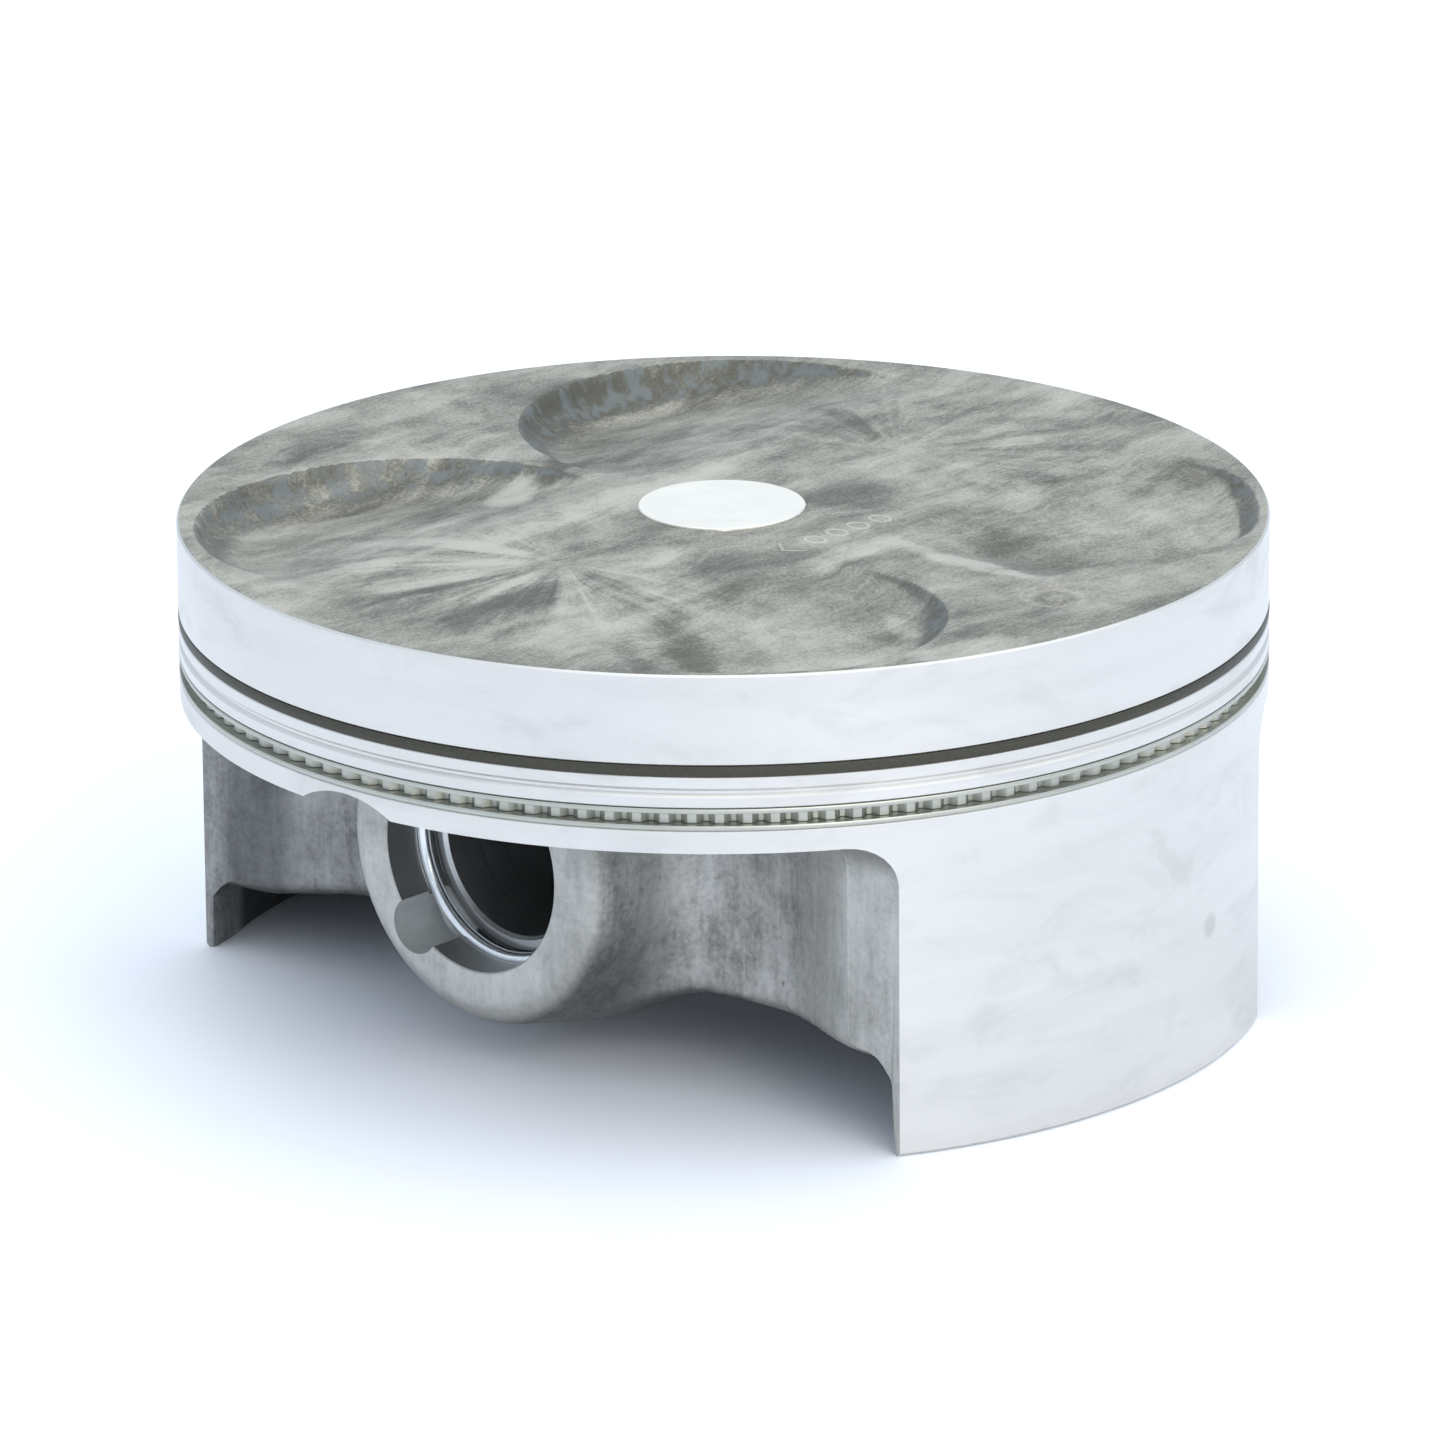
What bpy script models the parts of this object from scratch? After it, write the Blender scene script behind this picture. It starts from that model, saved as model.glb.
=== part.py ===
"""Forged motorcycle piston for a 96 mm bore, with its rings, wrist pin and circlips.

Metres, +Z up towards the crown, +X along the wrist pin, origin on the bore axis in the
plane of the skirts' lower edge. Every sub-part is its own closed solid.
"""

import math

import bmesh
import bpy
from mathutils import Matrix

# Driving dimensions of the piston
CYLINDER_RADIUS = 0.048
PISTON_CLEARANCE = 0.00004
PISTON_HEIGHT = 0.044
RIM_CHAMFER = 0.0004
CROWN_THICKNESS = 0.0078
TOP_LAND = 0.008
TOP_GROOVE = 0.001
TOP_GROOVE_DEPTH = 0.0035
SECOND_LAND = 0.0028
OIL_GROOVE = 0.002
OIL_GROOVE_DEPTH = 0.0033
THIRD_LAND = 0.002
BELT_WALL = 0.0034
ACCUMULATOR_WIDTH = 0.0008
ACCUMULATOR_DEPTH = 0.0003
SKIRT_HALF_WIDTH = 0.0236
SKIRT_WALL = 0.0016
SKIRT_WALL_TOP = 0.0025
SKIRT_CORNER = 0.004
UNDER_CROWN_FILLET = 0.003
CORE_OVERLAP = 0.0015

# Crown: machined centre pad and four valve pockets
PAD_RADIUS = 0.00735
PAD_HEIGHT = 0.0002
INTAKE_POCKET_X = 0.0213
INTAKE_POCKET_Y = 0.0229
INTAKE_POCKET_RADIUS = 0.0159
INTAKE_POCKET_START = 0.0157
INTAKE_POCKET_TILT = math.radians(6.5)
EXHAUST_POCKET_X = 0.0208
EXHAUST_POCKET_Y = 0.0168
EXHAUST_POCKET_RADIUS = 0.0194
EXHAUST_POCKET_START = 0.0125
EXHAUST_POCKET_TILT = math.radians(9.5)

# Pin bosses, the bore through them, and the struts that carry them
COMPRESSION_HEIGHT = 0.02435
BORE_RADIUS = 0.010
BOSS_RADIUS = 0.0142
BOSS_INNER_FACE = 0.0125
BOSS_OUTER_FACE = 0.0327
BOSS_WEB_HALF_WIDTH = 0.0098
BOSS_WEB_INSET = 0.001
MOUTH_CHAMFER = 0.0003
BORE_OIL_GROOVE_X = 0.0203
BORE_OIL_GROOVE_WIDTH = 0.0006
BORE_OIL_GROOVE_DEPTH = 0.0004
NOTCH_RADIUS = 0.00255
NOTCH_ANGLE = math.radians(-132.0)
NOTCH_BEYOND_GROOVE = 0.0011
STRUT_WAIST_X = 0.0204
STRUT_WAIST_Y = 0.025
STRUT_WALL = 0.003
STRUT_BOTTOM = 0.0086
STRUT_EDGE_INSET = 0.0002

# Oil drain holes, in the floor of the oil groove
DRAIN_RADIUS = 0.0009
DRAIN_ANGLES = (56.0, 82.0, 98.0, 124.0)

# Rings
RING_SIDE_CLEARANCE = 0.00004
RING_RADIAL_WIDTH = 0.0030
RING_GAP = 0.00035
RING_GAP_ANGLE = 205.0
RAIL_THICKNESS = 0.00042
RAIL_RADIAL_WIDTH = 0.0023
RAIL_GAP_ANGLES = (250.0, 290.0)
EXPANDER_SETBACK = 0.0007
EXPANDER_RADIAL_WIDTH = 0.0017
EXPANDER_GAP_ANGLE = 230.0

# Wrist pin and circlips
PIN_CLEARANCE = 0.00004
PIN_WALL = 0.0040
PIN_END_WALL = 0.0018
PIN_TAPER_LENGTH = 0.013
PIN_CHAMFER = 0.0004
CIRCLIP_INNER_EDGE = 0.0275
CIRCLIP_WIRE = 0.0013
CIRCLIP_CLEARANCE = 0.00005
CIRCLIP_GAP_ANGLE = math.radians(40.0)
PIN_END_CLEARANCE = 0.0003

ROUND_STEPS = 96
BORE_STEPS = 64
NOTCH_STEPS = 24
HOLE_STEPS = 12
FILLET_STEPS = 3
CORNER_STEPS = 6
STRUT_STEPS = 8
CLIP_STEPS = 48
WIRE_RESOLUTION = 2
OVERSHOOT = 0.002

# Heights that follow from the stack of lands and grooves
PISTON_RADIUS = CYLINDER_RADIUS - PISTON_CLEARANCE
TOP_GROOVE_TOP = PISTON_HEIGHT - TOP_LAND
TOP_GROOVE_BOTTOM = TOP_GROOVE_TOP - TOP_GROOVE
OIL_GROOVE_TOP = TOP_GROOVE_BOTTOM - SECOND_LAND
OIL_GROOVE_BOTTOM = OIL_GROOVE_TOP - OIL_GROOVE
BELT_BOTTOM = OIL_GROOVE_BOTTOM - THIRD_LAND
UNDER_CROWN = PISTON_HEIGHT - CROWN_THICKNESS
BELT_INNER_RADIUS = PISTON_RADIUS - TOP_GROOVE_DEPTH - BELT_WALL
PIN_Z = PISTON_HEIGHT - COMPRESSION_HEIGHT
CIRCLIP_GROOVE_WIDTH = CIRCLIP_WIRE + 2 * CIRCLIP_CLEARANCE
CIRCLIP_GROOVE_RADIUS = BORE_RADIUS + CIRCLIP_WIRE / 2
CORE_TOP = UNDER_CROWN + CORE_OVERLAP


def clear_scene():
    for thing in list(bpy.data.objects):
        bpy.data.objects.remove(thing, do_unlink=True)


def new_collection(name):
    collection = bpy.data.collections.new(name)
    bpy.context.scene.collection.children.link(collection)
    return collection


clear_scene()
PARTS = new_collection("motorcycle_piston")
CUTTERS = new_collection("cutters")
CUTTERS.hide_render = True


def metal(name, colour, metallic, roughness):
    """A Principled material with one colour, metallic and roughness."""
    made = bpy.data.materials.new(name)
    made.use_nodes = True
    shader = made.node_tree.nodes["Principled BSDF"]
    shader.inputs["Base Color"].default_value = (*colour, 1.0)
    shader.inputs["Metallic"].default_value = metallic
    shader.inputs["Roughness"].default_value = roughness
    return made


def link_part(part, look):
    PARTS.objects.link(part)
    part.data.materials.append(look)
    return part


def link_tool(tool):
    """Keeps an object that only cuts or joins out of the render."""
    CUTTERS.objects.link(tool)
    tool.hide_render = True
    tool.display_type = "WIRE"
    return tool


def place(thing, matrix):
    thing.matrix_world = matrix
    return thing


def turned(name, profile, steps, closed=False):
    """Turns (radius, height) points, listed down the outer side, about the object's Z axis."""
    mesh = bpy.data.meshes.new(name)
    points = [(radius, 0.0, height) for radius, height in profile]
    edges = [(i, i + 1) for i in range(len(points) - 1)]
    if closed:
        edges.append((len(points) - 1, 0))
    mesh.from_pydata(points, edges, [])
    thing = bpy.data.objects.new(name, mesh)
    screw = thing.modifiers.new("turn", "SCREW")
    screw.steps = steps
    screw.render_steps = steps
    screw.use_merge_vertices = True
    screw.merge_threshold = 0.000001
    screw.use_smooth_shade = True
    return thing


def made_mesh(thing, name):
    """Replaces a curve object by a mesh object with its caps welded."""
    PARTS.objects.link(thing)
    bpy.context.view_layer.update()
    graph = bpy.context.evaluated_depsgraph_get()
    mesh = bpy.data.meshes.new_from_object(thing.evaluated_get(graph))
    editor = bmesh.new()
    editor.from_mesh(mesh)
    bmesh.ops.remove_doubles(editor, verts=editor.verts, dist=0.000001)
    bmesh.ops.recalc_face_normals(editor, faces=editor.faces)
    editor.to_mesh(mesh)
    editor.free()
    solid = bpy.data.objects.new(name, mesh)
    solid.matrix_world = thing.matrix_world.copy()
    bpy.data.objects.remove(thing, do_unlink=True)
    return solid


def prism(name, outline, low, high):
    """A flat outline in XY, extruded from one height to another."""
    curve = bpy.data.curves.new(name + "_outline", "CURVE")
    curve.dimensions = "2D"
    curve.fill_mode = "BOTH"
    curve.extrude = (high - low) / 2
    spline = curve.splines.new("POLY")
    spline.points.add(len(outline) - 1)
    for point, (x, y) in zip(spline.points, outline):
        point.co = (x, y, 0.0, 1.0)
    spline.use_cyclic_u = True
    thing = bpy.data.objects.new(name + "_outline", curve)
    thing.location = (0.0, 0.0, (high + low) / 2)
    return made_mesh(thing, name)


def rod(name, radius, length, steps):
    """A solid cylinder on the object's Z axis, from 0 to its length."""
    mesh = bpy.data.meshes.new(name)
    editor = bmesh.new()
    bmesh.ops.create_cone(
        editor,
        cap_ends=True,
        segments=steps,
        radius1=radius,
        radius2=radius,
        depth=length,
        matrix=Matrix.Translation((0.0, 0.0, length / 2)),
    )
    editor.to_mesh(mesh)
    editor.free()
    return bpy.data.objects.new(name, mesh)


def block(name, low, high):
    """A box between two corners."""
    mesh = bpy.data.meshes.new(name)
    editor = bmesh.new()
    bmesh.ops.create_cube(editor, size=1.0)
    for vertex in editor.verts:
        vertex.co = [a + (b - a) * (c + 0.5) for a, b, c in zip(low, high, vertex.co)]
    editor.to_mesh(mesh)
    editor.free()
    return bpy.data.objects.new(name, mesh)


def combine(target, tool, operation):
    """Cuts the tool from the target, or joins it to it, with the EXACT solver."""
    link_tool(tool)
    modifier = target.modifiers.new(tool.name, "BOOLEAN")
    modifier.object = tool
    modifier.operation = operation
    modifier.solver = "EXACT"


def along_x(side):
    """Turns a Z-axis object so that it runs outwards along the pin axis, on the side +1 or -1."""
    turn = Matrix.Rotation(side * math.pi / 2, 4, "Y")
    return Matrix.Translation((0.0, 0.0, PIN_Z)) @ turn


def arc(centre, radius, start, end, count):
    """Points on an arc, both ends included, with its angles in degrees."""
    points = []
    for i in range(count + 1):
        angle = math.radians(start + (end - start) * i / count)
        points.append((centre[0] + radius * math.cos(angle), centre[1] + radius * math.sin(angle)))
    return points


# Piston body

def cup_profile():
    """The turned outside, from the crown's centre to the skirt, and the hollow inside."""
    rim = PISTON_RADIUS
    fillet = (BELT_INNER_RADIUS - UNDER_CROWN_FILLET, UNDER_CROWN - UNDER_CROWN_FILLET)
    return [
        (0.0, PISTON_HEIGHT),
        (rim - RIM_CHAMFER, PISTON_HEIGHT),
        (rim, PISTON_HEIGHT - RIM_CHAMFER),
        (rim, 0.0),
        (rim - SKIRT_WALL, 0.0),
        (rim - SKIRT_WALL_TOP, BELT_BOTTOM - SKIRT_CORNER),
        (BELT_INNER_RADIUS, BELT_BOTTOM + THIRD_LAND),
        *arc(fillet, UNDER_CROWN_FILLET, 0, 90, FILLET_STEPS),
        (0.0, UNDER_CROWN),
    ]


def groove(name, top, bottom, depth):
    """A square ring groove, turned into the belt between two heights."""
    floor = PISTON_RADIUS - depth
    reach = PISTON_RADIUS + OVERSHOOT
    profile = [(reach, top), (reach, bottom), (floor, bottom), (floor, top)]
    return turned(name, profile, ROUND_STEPS, closed=True)


def accumulator_groove():
    """The shallow V in the middle of the second land."""
    middle = (TOP_GROOVE_BOTTOM + OIL_GROOVE_TOP) / 2
    half = ACCUMULATOR_WIDTH / 2
    reach = PISTON_RADIUS + ACCUMULATOR_DEPTH
    profile = [
        (reach, middle + 2 * half),
        (reach, middle - 2 * half),
        (PISTON_RADIUS - ACCUMULATOR_DEPTH, middle),
    ]
    return turned("accumulator_groove", profile, ROUND_STEPS, closed=True)


def side_window(side):
    """The open side under the ring belt, with a rounded upper corner at each skirt edge."""
    reach = PISTON_RADIUS + OVERSHOOT
    corner = (SKIRT_HALF_WIDTH + SKIRT_CORNER, BELT_BOTTOM - SKIRT_CORNER)
    outline = [
        (reach, BELT_BOTTOM),
        *arc(corner, SKIRT_CORNER, 90, 180, CORNER_STEPS),
        (SKIRT_HALF_WIDTH, -OVERSHOOT),
        (reach, -OVERSHOOT),
    ]
    window = prism(f"window_{side}", outline, -reach, reach)
    stand_up = Matrix.Rotation(math.pi / 2, 4, "X")
    face_side = Matrix.Rotation(0.0 if side > 0 else math.pi, 4, "Z")
    return place(window, face_side @ stand_up)


def valve_pocket(name, x, y, radius, start, tilt):
    """A shallow round cutter whose floor falls away from the crown's middle line."""
    towards = math.copysign(1.0, y)
    pocket = rod(name, radius, PISTON_HEIGHT, BORE_STEPS)
    floor = PISTON_HEIGHT - (abs(y) - start) * math.tan(tilt)
    lean = Matrix.Rotation(-towards * tilt, 4, "X")
    return place(pocket, Matrix.Translation((x, y, floor)) @ lean)


def strut_outline(side_x, side_y):
    """Plan of one strut: outwards past its waist to the skirt edge, and back a wall inside."""
    end_radius = PISTON_RADIUS - SKIRT_WALL / 2
    edge_x = SKIRT_HALF_WIDTH - STRUT_EDGE_INSET
    edge_y = math.sqrt(end_radius**2 - edge_x**2)
    start_y = BORE_RADIUS / 2
    bow = (edge_x - STRUT_WAIST_X) / (edge_y - STRUT_WAIST_Y) ** 2
    step = (edge_y - start_y) / STRUT_STEPS
    rows = [start_y + step * i for i in range(STRUT_STEPS + 1)]
    outer = [(STRUT_WAIST_X + bow * (y - STRUT_WAIST_Y) ** 2, y) for y in rows]
    inner = [(x - STRUT_WALL, y) for x, y in outer]
    inner_x = inner[-1][0]
    inner[-1] = (inner_x, math.sqrt(end_radius**2 - inner_x**2))
    points = outer + inner[::-1]
    return [(side_x * x, side_y * y) for x, y in points]


def boss(side):
    length = BOSS_OUTER_FACE - BOSS_INNER_FACE
    shape = rod(f"boss_{side}", BOSS_RADIUS, length, BORE_STEPS)
    outwards = Matrix.Translation((0.0, 0.0, BOSS_INNER_FACE))
    return place(shape, along_x(side) @ outwards)


def boss_web(side):
    """Carries the boss up to the crown."""
    near = BOSS_INNER_FACE + BOSS_WEB_INSET
    far = BOSS_OUTER_FACE - BOSS_WEB_INSET
    low = (min(side * near, side * far), -BOSS_WEB_HALF_WIDTH, PIN_Z)
    high = (max(side * near, side * far), BOSS_WEB_HALF_WIDTH, CORE_TOP)
    return block(f"boss_web_{side}", low, high)


def bore_cutter(side):
    """The pin bore of one boss, with its oil groove, circlip groove and mouth chamfer."""
    inner = BOSS_INNER_FACE - OVERSHOOT
    clip_in = CIRCLIP_INNER_EDGE
    clip_out = clip_in + CIRCLIP_GROOVE_WIDTH
    oil_in = BORE_OIL_GROOVE_X
    oil_out = oil_in + BORE_OIL_GROOVE_WIDTH
    oil_radius = BORE_RADIUS + BORE_OIL_GROOVE_DEPTH
    mouth = BOSS_OUTER_FACE - MOUTH_CHAMFER
    beyond = PISTON_RADIUS + OVERSHOOT
    outwards = [
        (0.0, inner),
        (BORE_RADIUS, inner),
        (BORE_RADIUS, oil_in),
        (oil_radius, oil_in),
        (oil_radius, oil_out),
        (BORE_RADIUS, oil_out),
        (BORE_RADIUS, clip_in),
        (CIRCLIP_GROOVE_RADIUS, clip_in),
        (CIRCLIP_GROOVE_RADIUS, clip_out),
        (BORE_RADIUS, clip_out),
        (BORE_RADIUS, mouth),
        (BORE_RADIUS + MOUTH_CHAMFER, BOSS_OUTER_FACE),
        (BORE_RADIUS, BOSS_OUTER_FACE + MOUTH_CHAMFER),
        (BORE_RADIUS, beyond),
        (0.0, beyond),
    ]
    return place(turned(f"bore_{side}", outwards[::-1], BORE_STEPS), along_x(side))


def removal_notch(side):
    """The round-ended scallop beside the bore that lets a pick lift the circlip."""
    start = CIRCLIP_INNER_EDGE - NOTCH_BEYOND_GROOVE
    notch = rod(f"notch_{side}", NOTCH_RADIUS, BOSS_OUTER_FACE + OVERSHOOT - start, NOTCH_STEPS)
    y = BORE_RADIUS * math.cos(NOTCH_ANGLE)
    z = BORE_RADIUS * math.sin(NOTCH_ANGLE)
    shift = Matrix.Translation((0.0, y, z))
    outwards = Matrix.Translation((0.0, 0.0, start))
    return place(notch, shift @ along_x(side) @ outwards)


def drain_hole(number, angle):
    """A radial hole from the oil groove's depth into the hollow piston, drilled before the groove."""
    start = BELT_INNER_RADIUS - OVERSHOOT
    end = PISTON_RADIUS - OIL_GROOVE_DEPTH / 2
    hole = rod(f"drain_{number}", DRAIN_RADIUS, end - start, HOLE_STEPS)
    middle = (OIL_GROOVE_TOP + OIL_GROOVE_BOTTOM) / 2
    swing = Matrix.Rotation(math.radians(angle), 4, "Z")
    lie_down = Matrix.Rotation(math.pi / 2, 4, "Y")
    outwards = Matrix.Translation((start, 0.0, middle))
    return place(hole, swing @ outwards @ lie_down)


def build_piston_body():
    body = turned("piston_body", cup_profile(), ROUND_STEPS)
    link_part(body, metal("forged_aluminium", (0.42, 0.43, 0.43), 0.9, 0.42))
    for side in (1, -1):
        combine(body, side_window(side), "DIFFERENCE")
    for side in (1, -1):
        for end in (1, -1):
            strut = prism(f"strut_{side}_{end}", strut_outline(side, end), STRUT_BOTTOM, CORE_TOP)
            combine(body, strut, "UNION")
        combine(body, boss(side), "UNION")
        combine(body, boss_web(side), "UNION")
        combine(body, bore_cutter(side), "DIFFERENCE")
        combine(body, removal_notch(side), "DIFFERENCE")
    for side in (1, -1):
        intake = valve_pocket(
            f"intake_pocket_{side}",
            side * INTAKE_POCKET_X,
            INTAKE_POCKET_Y,
            INTAKE_POCKET_RADIUS,
            INTAKE_POCKET_START,
            INTAKE_POCKET_TILT,
        )
        exhaust = valve_pocket(
            f"exhaust_pocket_{side}",
            side * EXHAUST_POCKET_X,
            -EXHAUST_POCKET_Y,
            EXHAUST_POCKET_RADIUS,
            EXHAUST_POCKET_START,
            EXHAUST_POCKET_TILT,
        )
        combine(body, intake, "DIFFERENCE")
        combine(body, exhaust, "DIFFERENCE")
    both_ends = DRAIN_ANGLES + tuple(angle + 180.0 for angle in DRAIN_ANGLES)
    for number, angle in enumerate(both_ends):
        combine(body, drain_hole(number, angle), "DIFFERENCE")
    combine(body, groove("top_groove", TOP_GROOVE_TOP, TOP_GROOVE_BOTTOM, TOP_GROOVE_DEPTH), "DIFFERENCE")
    combine(body, groove("oil_groove", OIL_GROOVE_TOP, OIL_GROOVE_BOTTOM, OIL_GROOVE_DEPTH), "DIFFERENCE")
    combine(body, accumulator_groove(), "DIFFERENCE")
    pad = rod("centre_pad", PAD_RADIUS, CROWN_THICKNESS / 2 + PAD_HEIGHT, BORE_STEPS)
    place(pad, Matrix.Translation((0.0, 0.0, PISTON_HEIGHT - CROWN_THICKNESS / 2)))
    combine(body, pad, "UNION")
    return body


# Rings

def ring(name, outer, width, low, high, gap_angle, look):
    """A flat ring between two heights, split by a narrow end gap."""
    middle = (low + high) / 2
    profile = [
        (outer, high - middle),
        (outer, low - middle),
        (outer - width, low - middle),
        (outer - width, high - middle),
    ]
    made = link_part(turned(name, profile, ROUND_STEPS, closed=True), look)
    place(made, Matrix.Translation((0.0, 0.0, middle)))
    saw = block(
        name + "_gap",
        (outer - width - OVERSHOOT, -RING_GAP / 2, -(high - low)),
        (outer + OVERSHOOT, RING_GAP / 2, high - low),
    )
    swing = Matrix.Rotation(math.radians(gap_angle), 4, "Z")
    place(saw, Matrix.Translation((0.0, 0.0, middle)) @ swing)
    combine(made, saw, "DIFFERENCE")
    return made


def build_rings():
    ring(
        "compression_ring",
        CYLINDER_RADIUS,
        RING_RADIAL_WIDTH,
        TOP_GROOVE_BOTTOM + RING_SIDE_CLEARANCE,
        TOP_GROOVE_TOP - RING_SIDE_CLEARANCE,
        RING_GAP_ANGLE,
        metal("phosphated_iron", (0.05, 0.05, 0.045), 0.7, 0.5),
    )
    rail_steel = metal("nitrided_rail", (0.22, 0.23, 0.21), 0.9, 0.4)
    low = OIL_GROOVE_BOTTOM + RING_SIDE_CLEARANCE
    high = OIL_GROOVE_TOP - RING_SIDE_CLEARANCE
    ring(
        "oil_rail_lower",
        CYLINDER_RADIUS,
        RAIL_RADIAL_WIDTH,
        low,
        low + RAIL_THICKNESS,
        RAIL_GAP_ANGLES[0],
        rail_steel,
    )
    ring(
        "oil_rail_upper",
        CYLINDER_RADIUS,
        RAIL_RADIAL_WIDTH,
        high - RAIL_THICKNESS,
        high,
        RAIL_GAP_ANGLES[1],
        metal("nitrided_rail_upper", (0.22, 0.23, 0.21), 0.9, 0.4),
    )
    ring(
        "oil_ring_expander",
        CYLINDER_RADIUS - EXPANDER_SETBACK,
        EXPANDER_RADIAL_WIDTH,
        low + RAIL_THICKNESS + RING_SIDE_CLEARANCE,
        high - RAIL_THICKNESS - RING_SIDE_CLEARANCE,
        EXPANDER_GAP_ANGLE,
        metal("spring_steel", (0.30, 0.31, 0.28), 0.9, 0.4),
    )


# Wrist pin and circlips

def build_wrist_pin():
    half = CIRCLIP_INNER_EDGE - PIN_END_CLEARANCE + CIRCLIP_CLEARANCE
    outer = BORE_RADIUS - PIN_CLEARANCE
    end_bore = outer - PIN_END_WALL
    middle_bore = outer - PIN_WALL
    taper = half - PIN_TAPER_LENGTH
    profile = [
        (end_bore, half),
        (outer - PIN_CHAMFER, half),
        (outer, half - PIN_CHAMFER),
        (outer, -half + PIN_CHAMFER),
        (outer - PIN_CHAMFER, -half),
        (end_bore, -half),
        (middle_bore, -taper),
        (middle_bore, taper),
    ]
    pin = turned("wrist_pin", profile, BORE_STEPS, closed=True)
    link_part(pin, metal("ground_steel", (0.50, 0.505, 0.50), 1.0, 0.3))
    place(pin, along_x(1))


def build_circlip(name, side):
    """A round wire bent to an open ring, its gap towards the crown."""
    wire = CIRCLIP_WIRE / 2
    radius = CIRCLIP_GROOVE_RADIUS - CIRCLIP_CLEARANCE - wire
    middle = CIRCLIP_INNER_EDGE + CIRCLIP_GROOVE_WIDTH / 2
    curve = bpy.data.curves.new(name + "_wire", "CURVE")
    curve.dimensions = "3D"
    curve.bevel_depth = wire
    curve.bevel_resolution = WIRE_RESOLUTION
    curve.use_fill_caps = True
    spline = curve.splines.new("POLY")
    spline.points.add(CLIP_STEPS)
    start = math.pi / 2 + CIRCLIP_GAP_ANGLE / 2
    step = (2 * math.pi - CIRCLIP_GAP_ANGLE) / CLIP_STEPS
    for i, point in enumerate(spline.points):
        angle = start + step * i
        y = radius * math.cos(angle)
        z = radius * math.sin(angle)
        point.co = (side * middle, y, z, 1.0)
    thing = bpy.data.objects.new(name + "_wire", curve)
    thing.location = (0.0, 0.0, PIN_Z)
    clip = made_mesh(thing, name)
    link_part(clip, metal(name + "_steel", (0.72, 0.74, 0.76), 1.0, 0.25))


def main():
    build_piston_body()
    build_rings()
    build_wrist_pin()
    build_circlip("circlip_right", 1)
    build_circlip("circlip_left", -1)


main()
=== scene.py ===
# %% [markdown]
# # A forged motorcycle piston, made the way it is made in the shop
#
# A piston blank is hammered out of hot aluminium, and then a lathe and a borer cut the few
# faces that have to be true. This lesson follows the same order. First a soft-edged forging is
# grown from a distance field, then crisp tools cut it, and each surface gets the finish that
# its own process leaves behind. The rings, wrist pin and circlips follow as separate pieces.

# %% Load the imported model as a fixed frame
import math

import bmesh
import bpy
import numpy as np
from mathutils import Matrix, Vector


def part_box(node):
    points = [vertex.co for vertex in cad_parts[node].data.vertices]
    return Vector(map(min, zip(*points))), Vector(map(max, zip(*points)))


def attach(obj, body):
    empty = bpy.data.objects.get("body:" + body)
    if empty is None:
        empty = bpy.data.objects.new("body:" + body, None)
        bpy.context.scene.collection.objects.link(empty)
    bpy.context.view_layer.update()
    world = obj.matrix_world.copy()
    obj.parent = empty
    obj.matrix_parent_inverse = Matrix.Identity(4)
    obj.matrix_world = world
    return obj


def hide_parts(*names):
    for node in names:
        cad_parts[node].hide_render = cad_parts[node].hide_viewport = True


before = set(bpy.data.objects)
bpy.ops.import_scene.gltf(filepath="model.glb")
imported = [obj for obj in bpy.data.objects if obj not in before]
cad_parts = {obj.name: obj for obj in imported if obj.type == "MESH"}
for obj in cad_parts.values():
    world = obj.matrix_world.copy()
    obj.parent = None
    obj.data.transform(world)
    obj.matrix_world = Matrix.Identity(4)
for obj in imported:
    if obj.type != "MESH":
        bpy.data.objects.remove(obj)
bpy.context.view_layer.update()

import openvdb
from mathutils import Matrix, Vector

# %% [markdown]
# ## Sizes
#
# The lesson works in millimetres and turns them into metres at the very end, because a
# machinist thinks in millimetres. Whatever the CAD model already fixes is read from the boxes
# of its nodes: the ring grooves are where the rings are, and the bore is where the pin is.

# %% Sizes that come from the CAD model
MM = 0.001


def node_box(node):
    """The lowest and highest corner of a CAD node, in millimetres."""
    low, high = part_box(node)
    return [v / MM for v in low], [v / MM for v in high]


RING_CLEARANCE = 0.04
PIN_CLEARANCE = 0.04
CLIP_CLEARANCE = 0.05
PAD_HEIGHT = 0.2
_, body_high = node_box("piston_body")
RADIUS = body_high[0]
PAD_TOP = body_high[2]
CROWN = PAD_TOP - PAD_HEIGHT
ring_low, ring_high = node_box("compression_ring")
TOP_GROOVE = (ring_low[2] - RING_CLEARANCE, ring_high[2] + RING_CLEARANCE)
RING_RADIUS = ring_high[0]
rail_low, _ = node_box("oil_rail_lower")
_, rail_high = node_box("oil_rail_upper")
OIL_GROOVE = (rail_low[2] - RING_CLEARANCE, rail_high[2] + RING_CLEARANCE)
pin_low, pin_high = node_box("wrist_pin")
PIN_Z = (pin_low[2] + pin_high[2]) / 2
PIN_RADIUS = (pin_high[2] - pin_low[2]) / 2
PIN_HALF = pin_high[0]
BORE_RADIUS = PIN_RADIUS + PIN_CLEARANCE
clip_low, clip_high = node_box("circlip_right")
CLIP_WIRE = clip_high[0] - clip_low[0]
CLIP_MIDDLE = (clip_high[0] + clip_low[0]) / 2
CLIP_GROOVE = (clip_low[0] - CLIP_CLEARANCE, clip_high[0] + CLIP_CLEARANCE)
CLIP_GROOVE_RADIUS = BORE_RADIUS + CLIP_WIRE / 2
print(f"radius {RADIUS:.2f}, crown {CROWN:.2f}, pin height {PIN_Z:.2f}, bore {BORE_RADIUS:.2f}")
print("ring grooves at", TOP_GROOVE, OIL_GROOVE)

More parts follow.
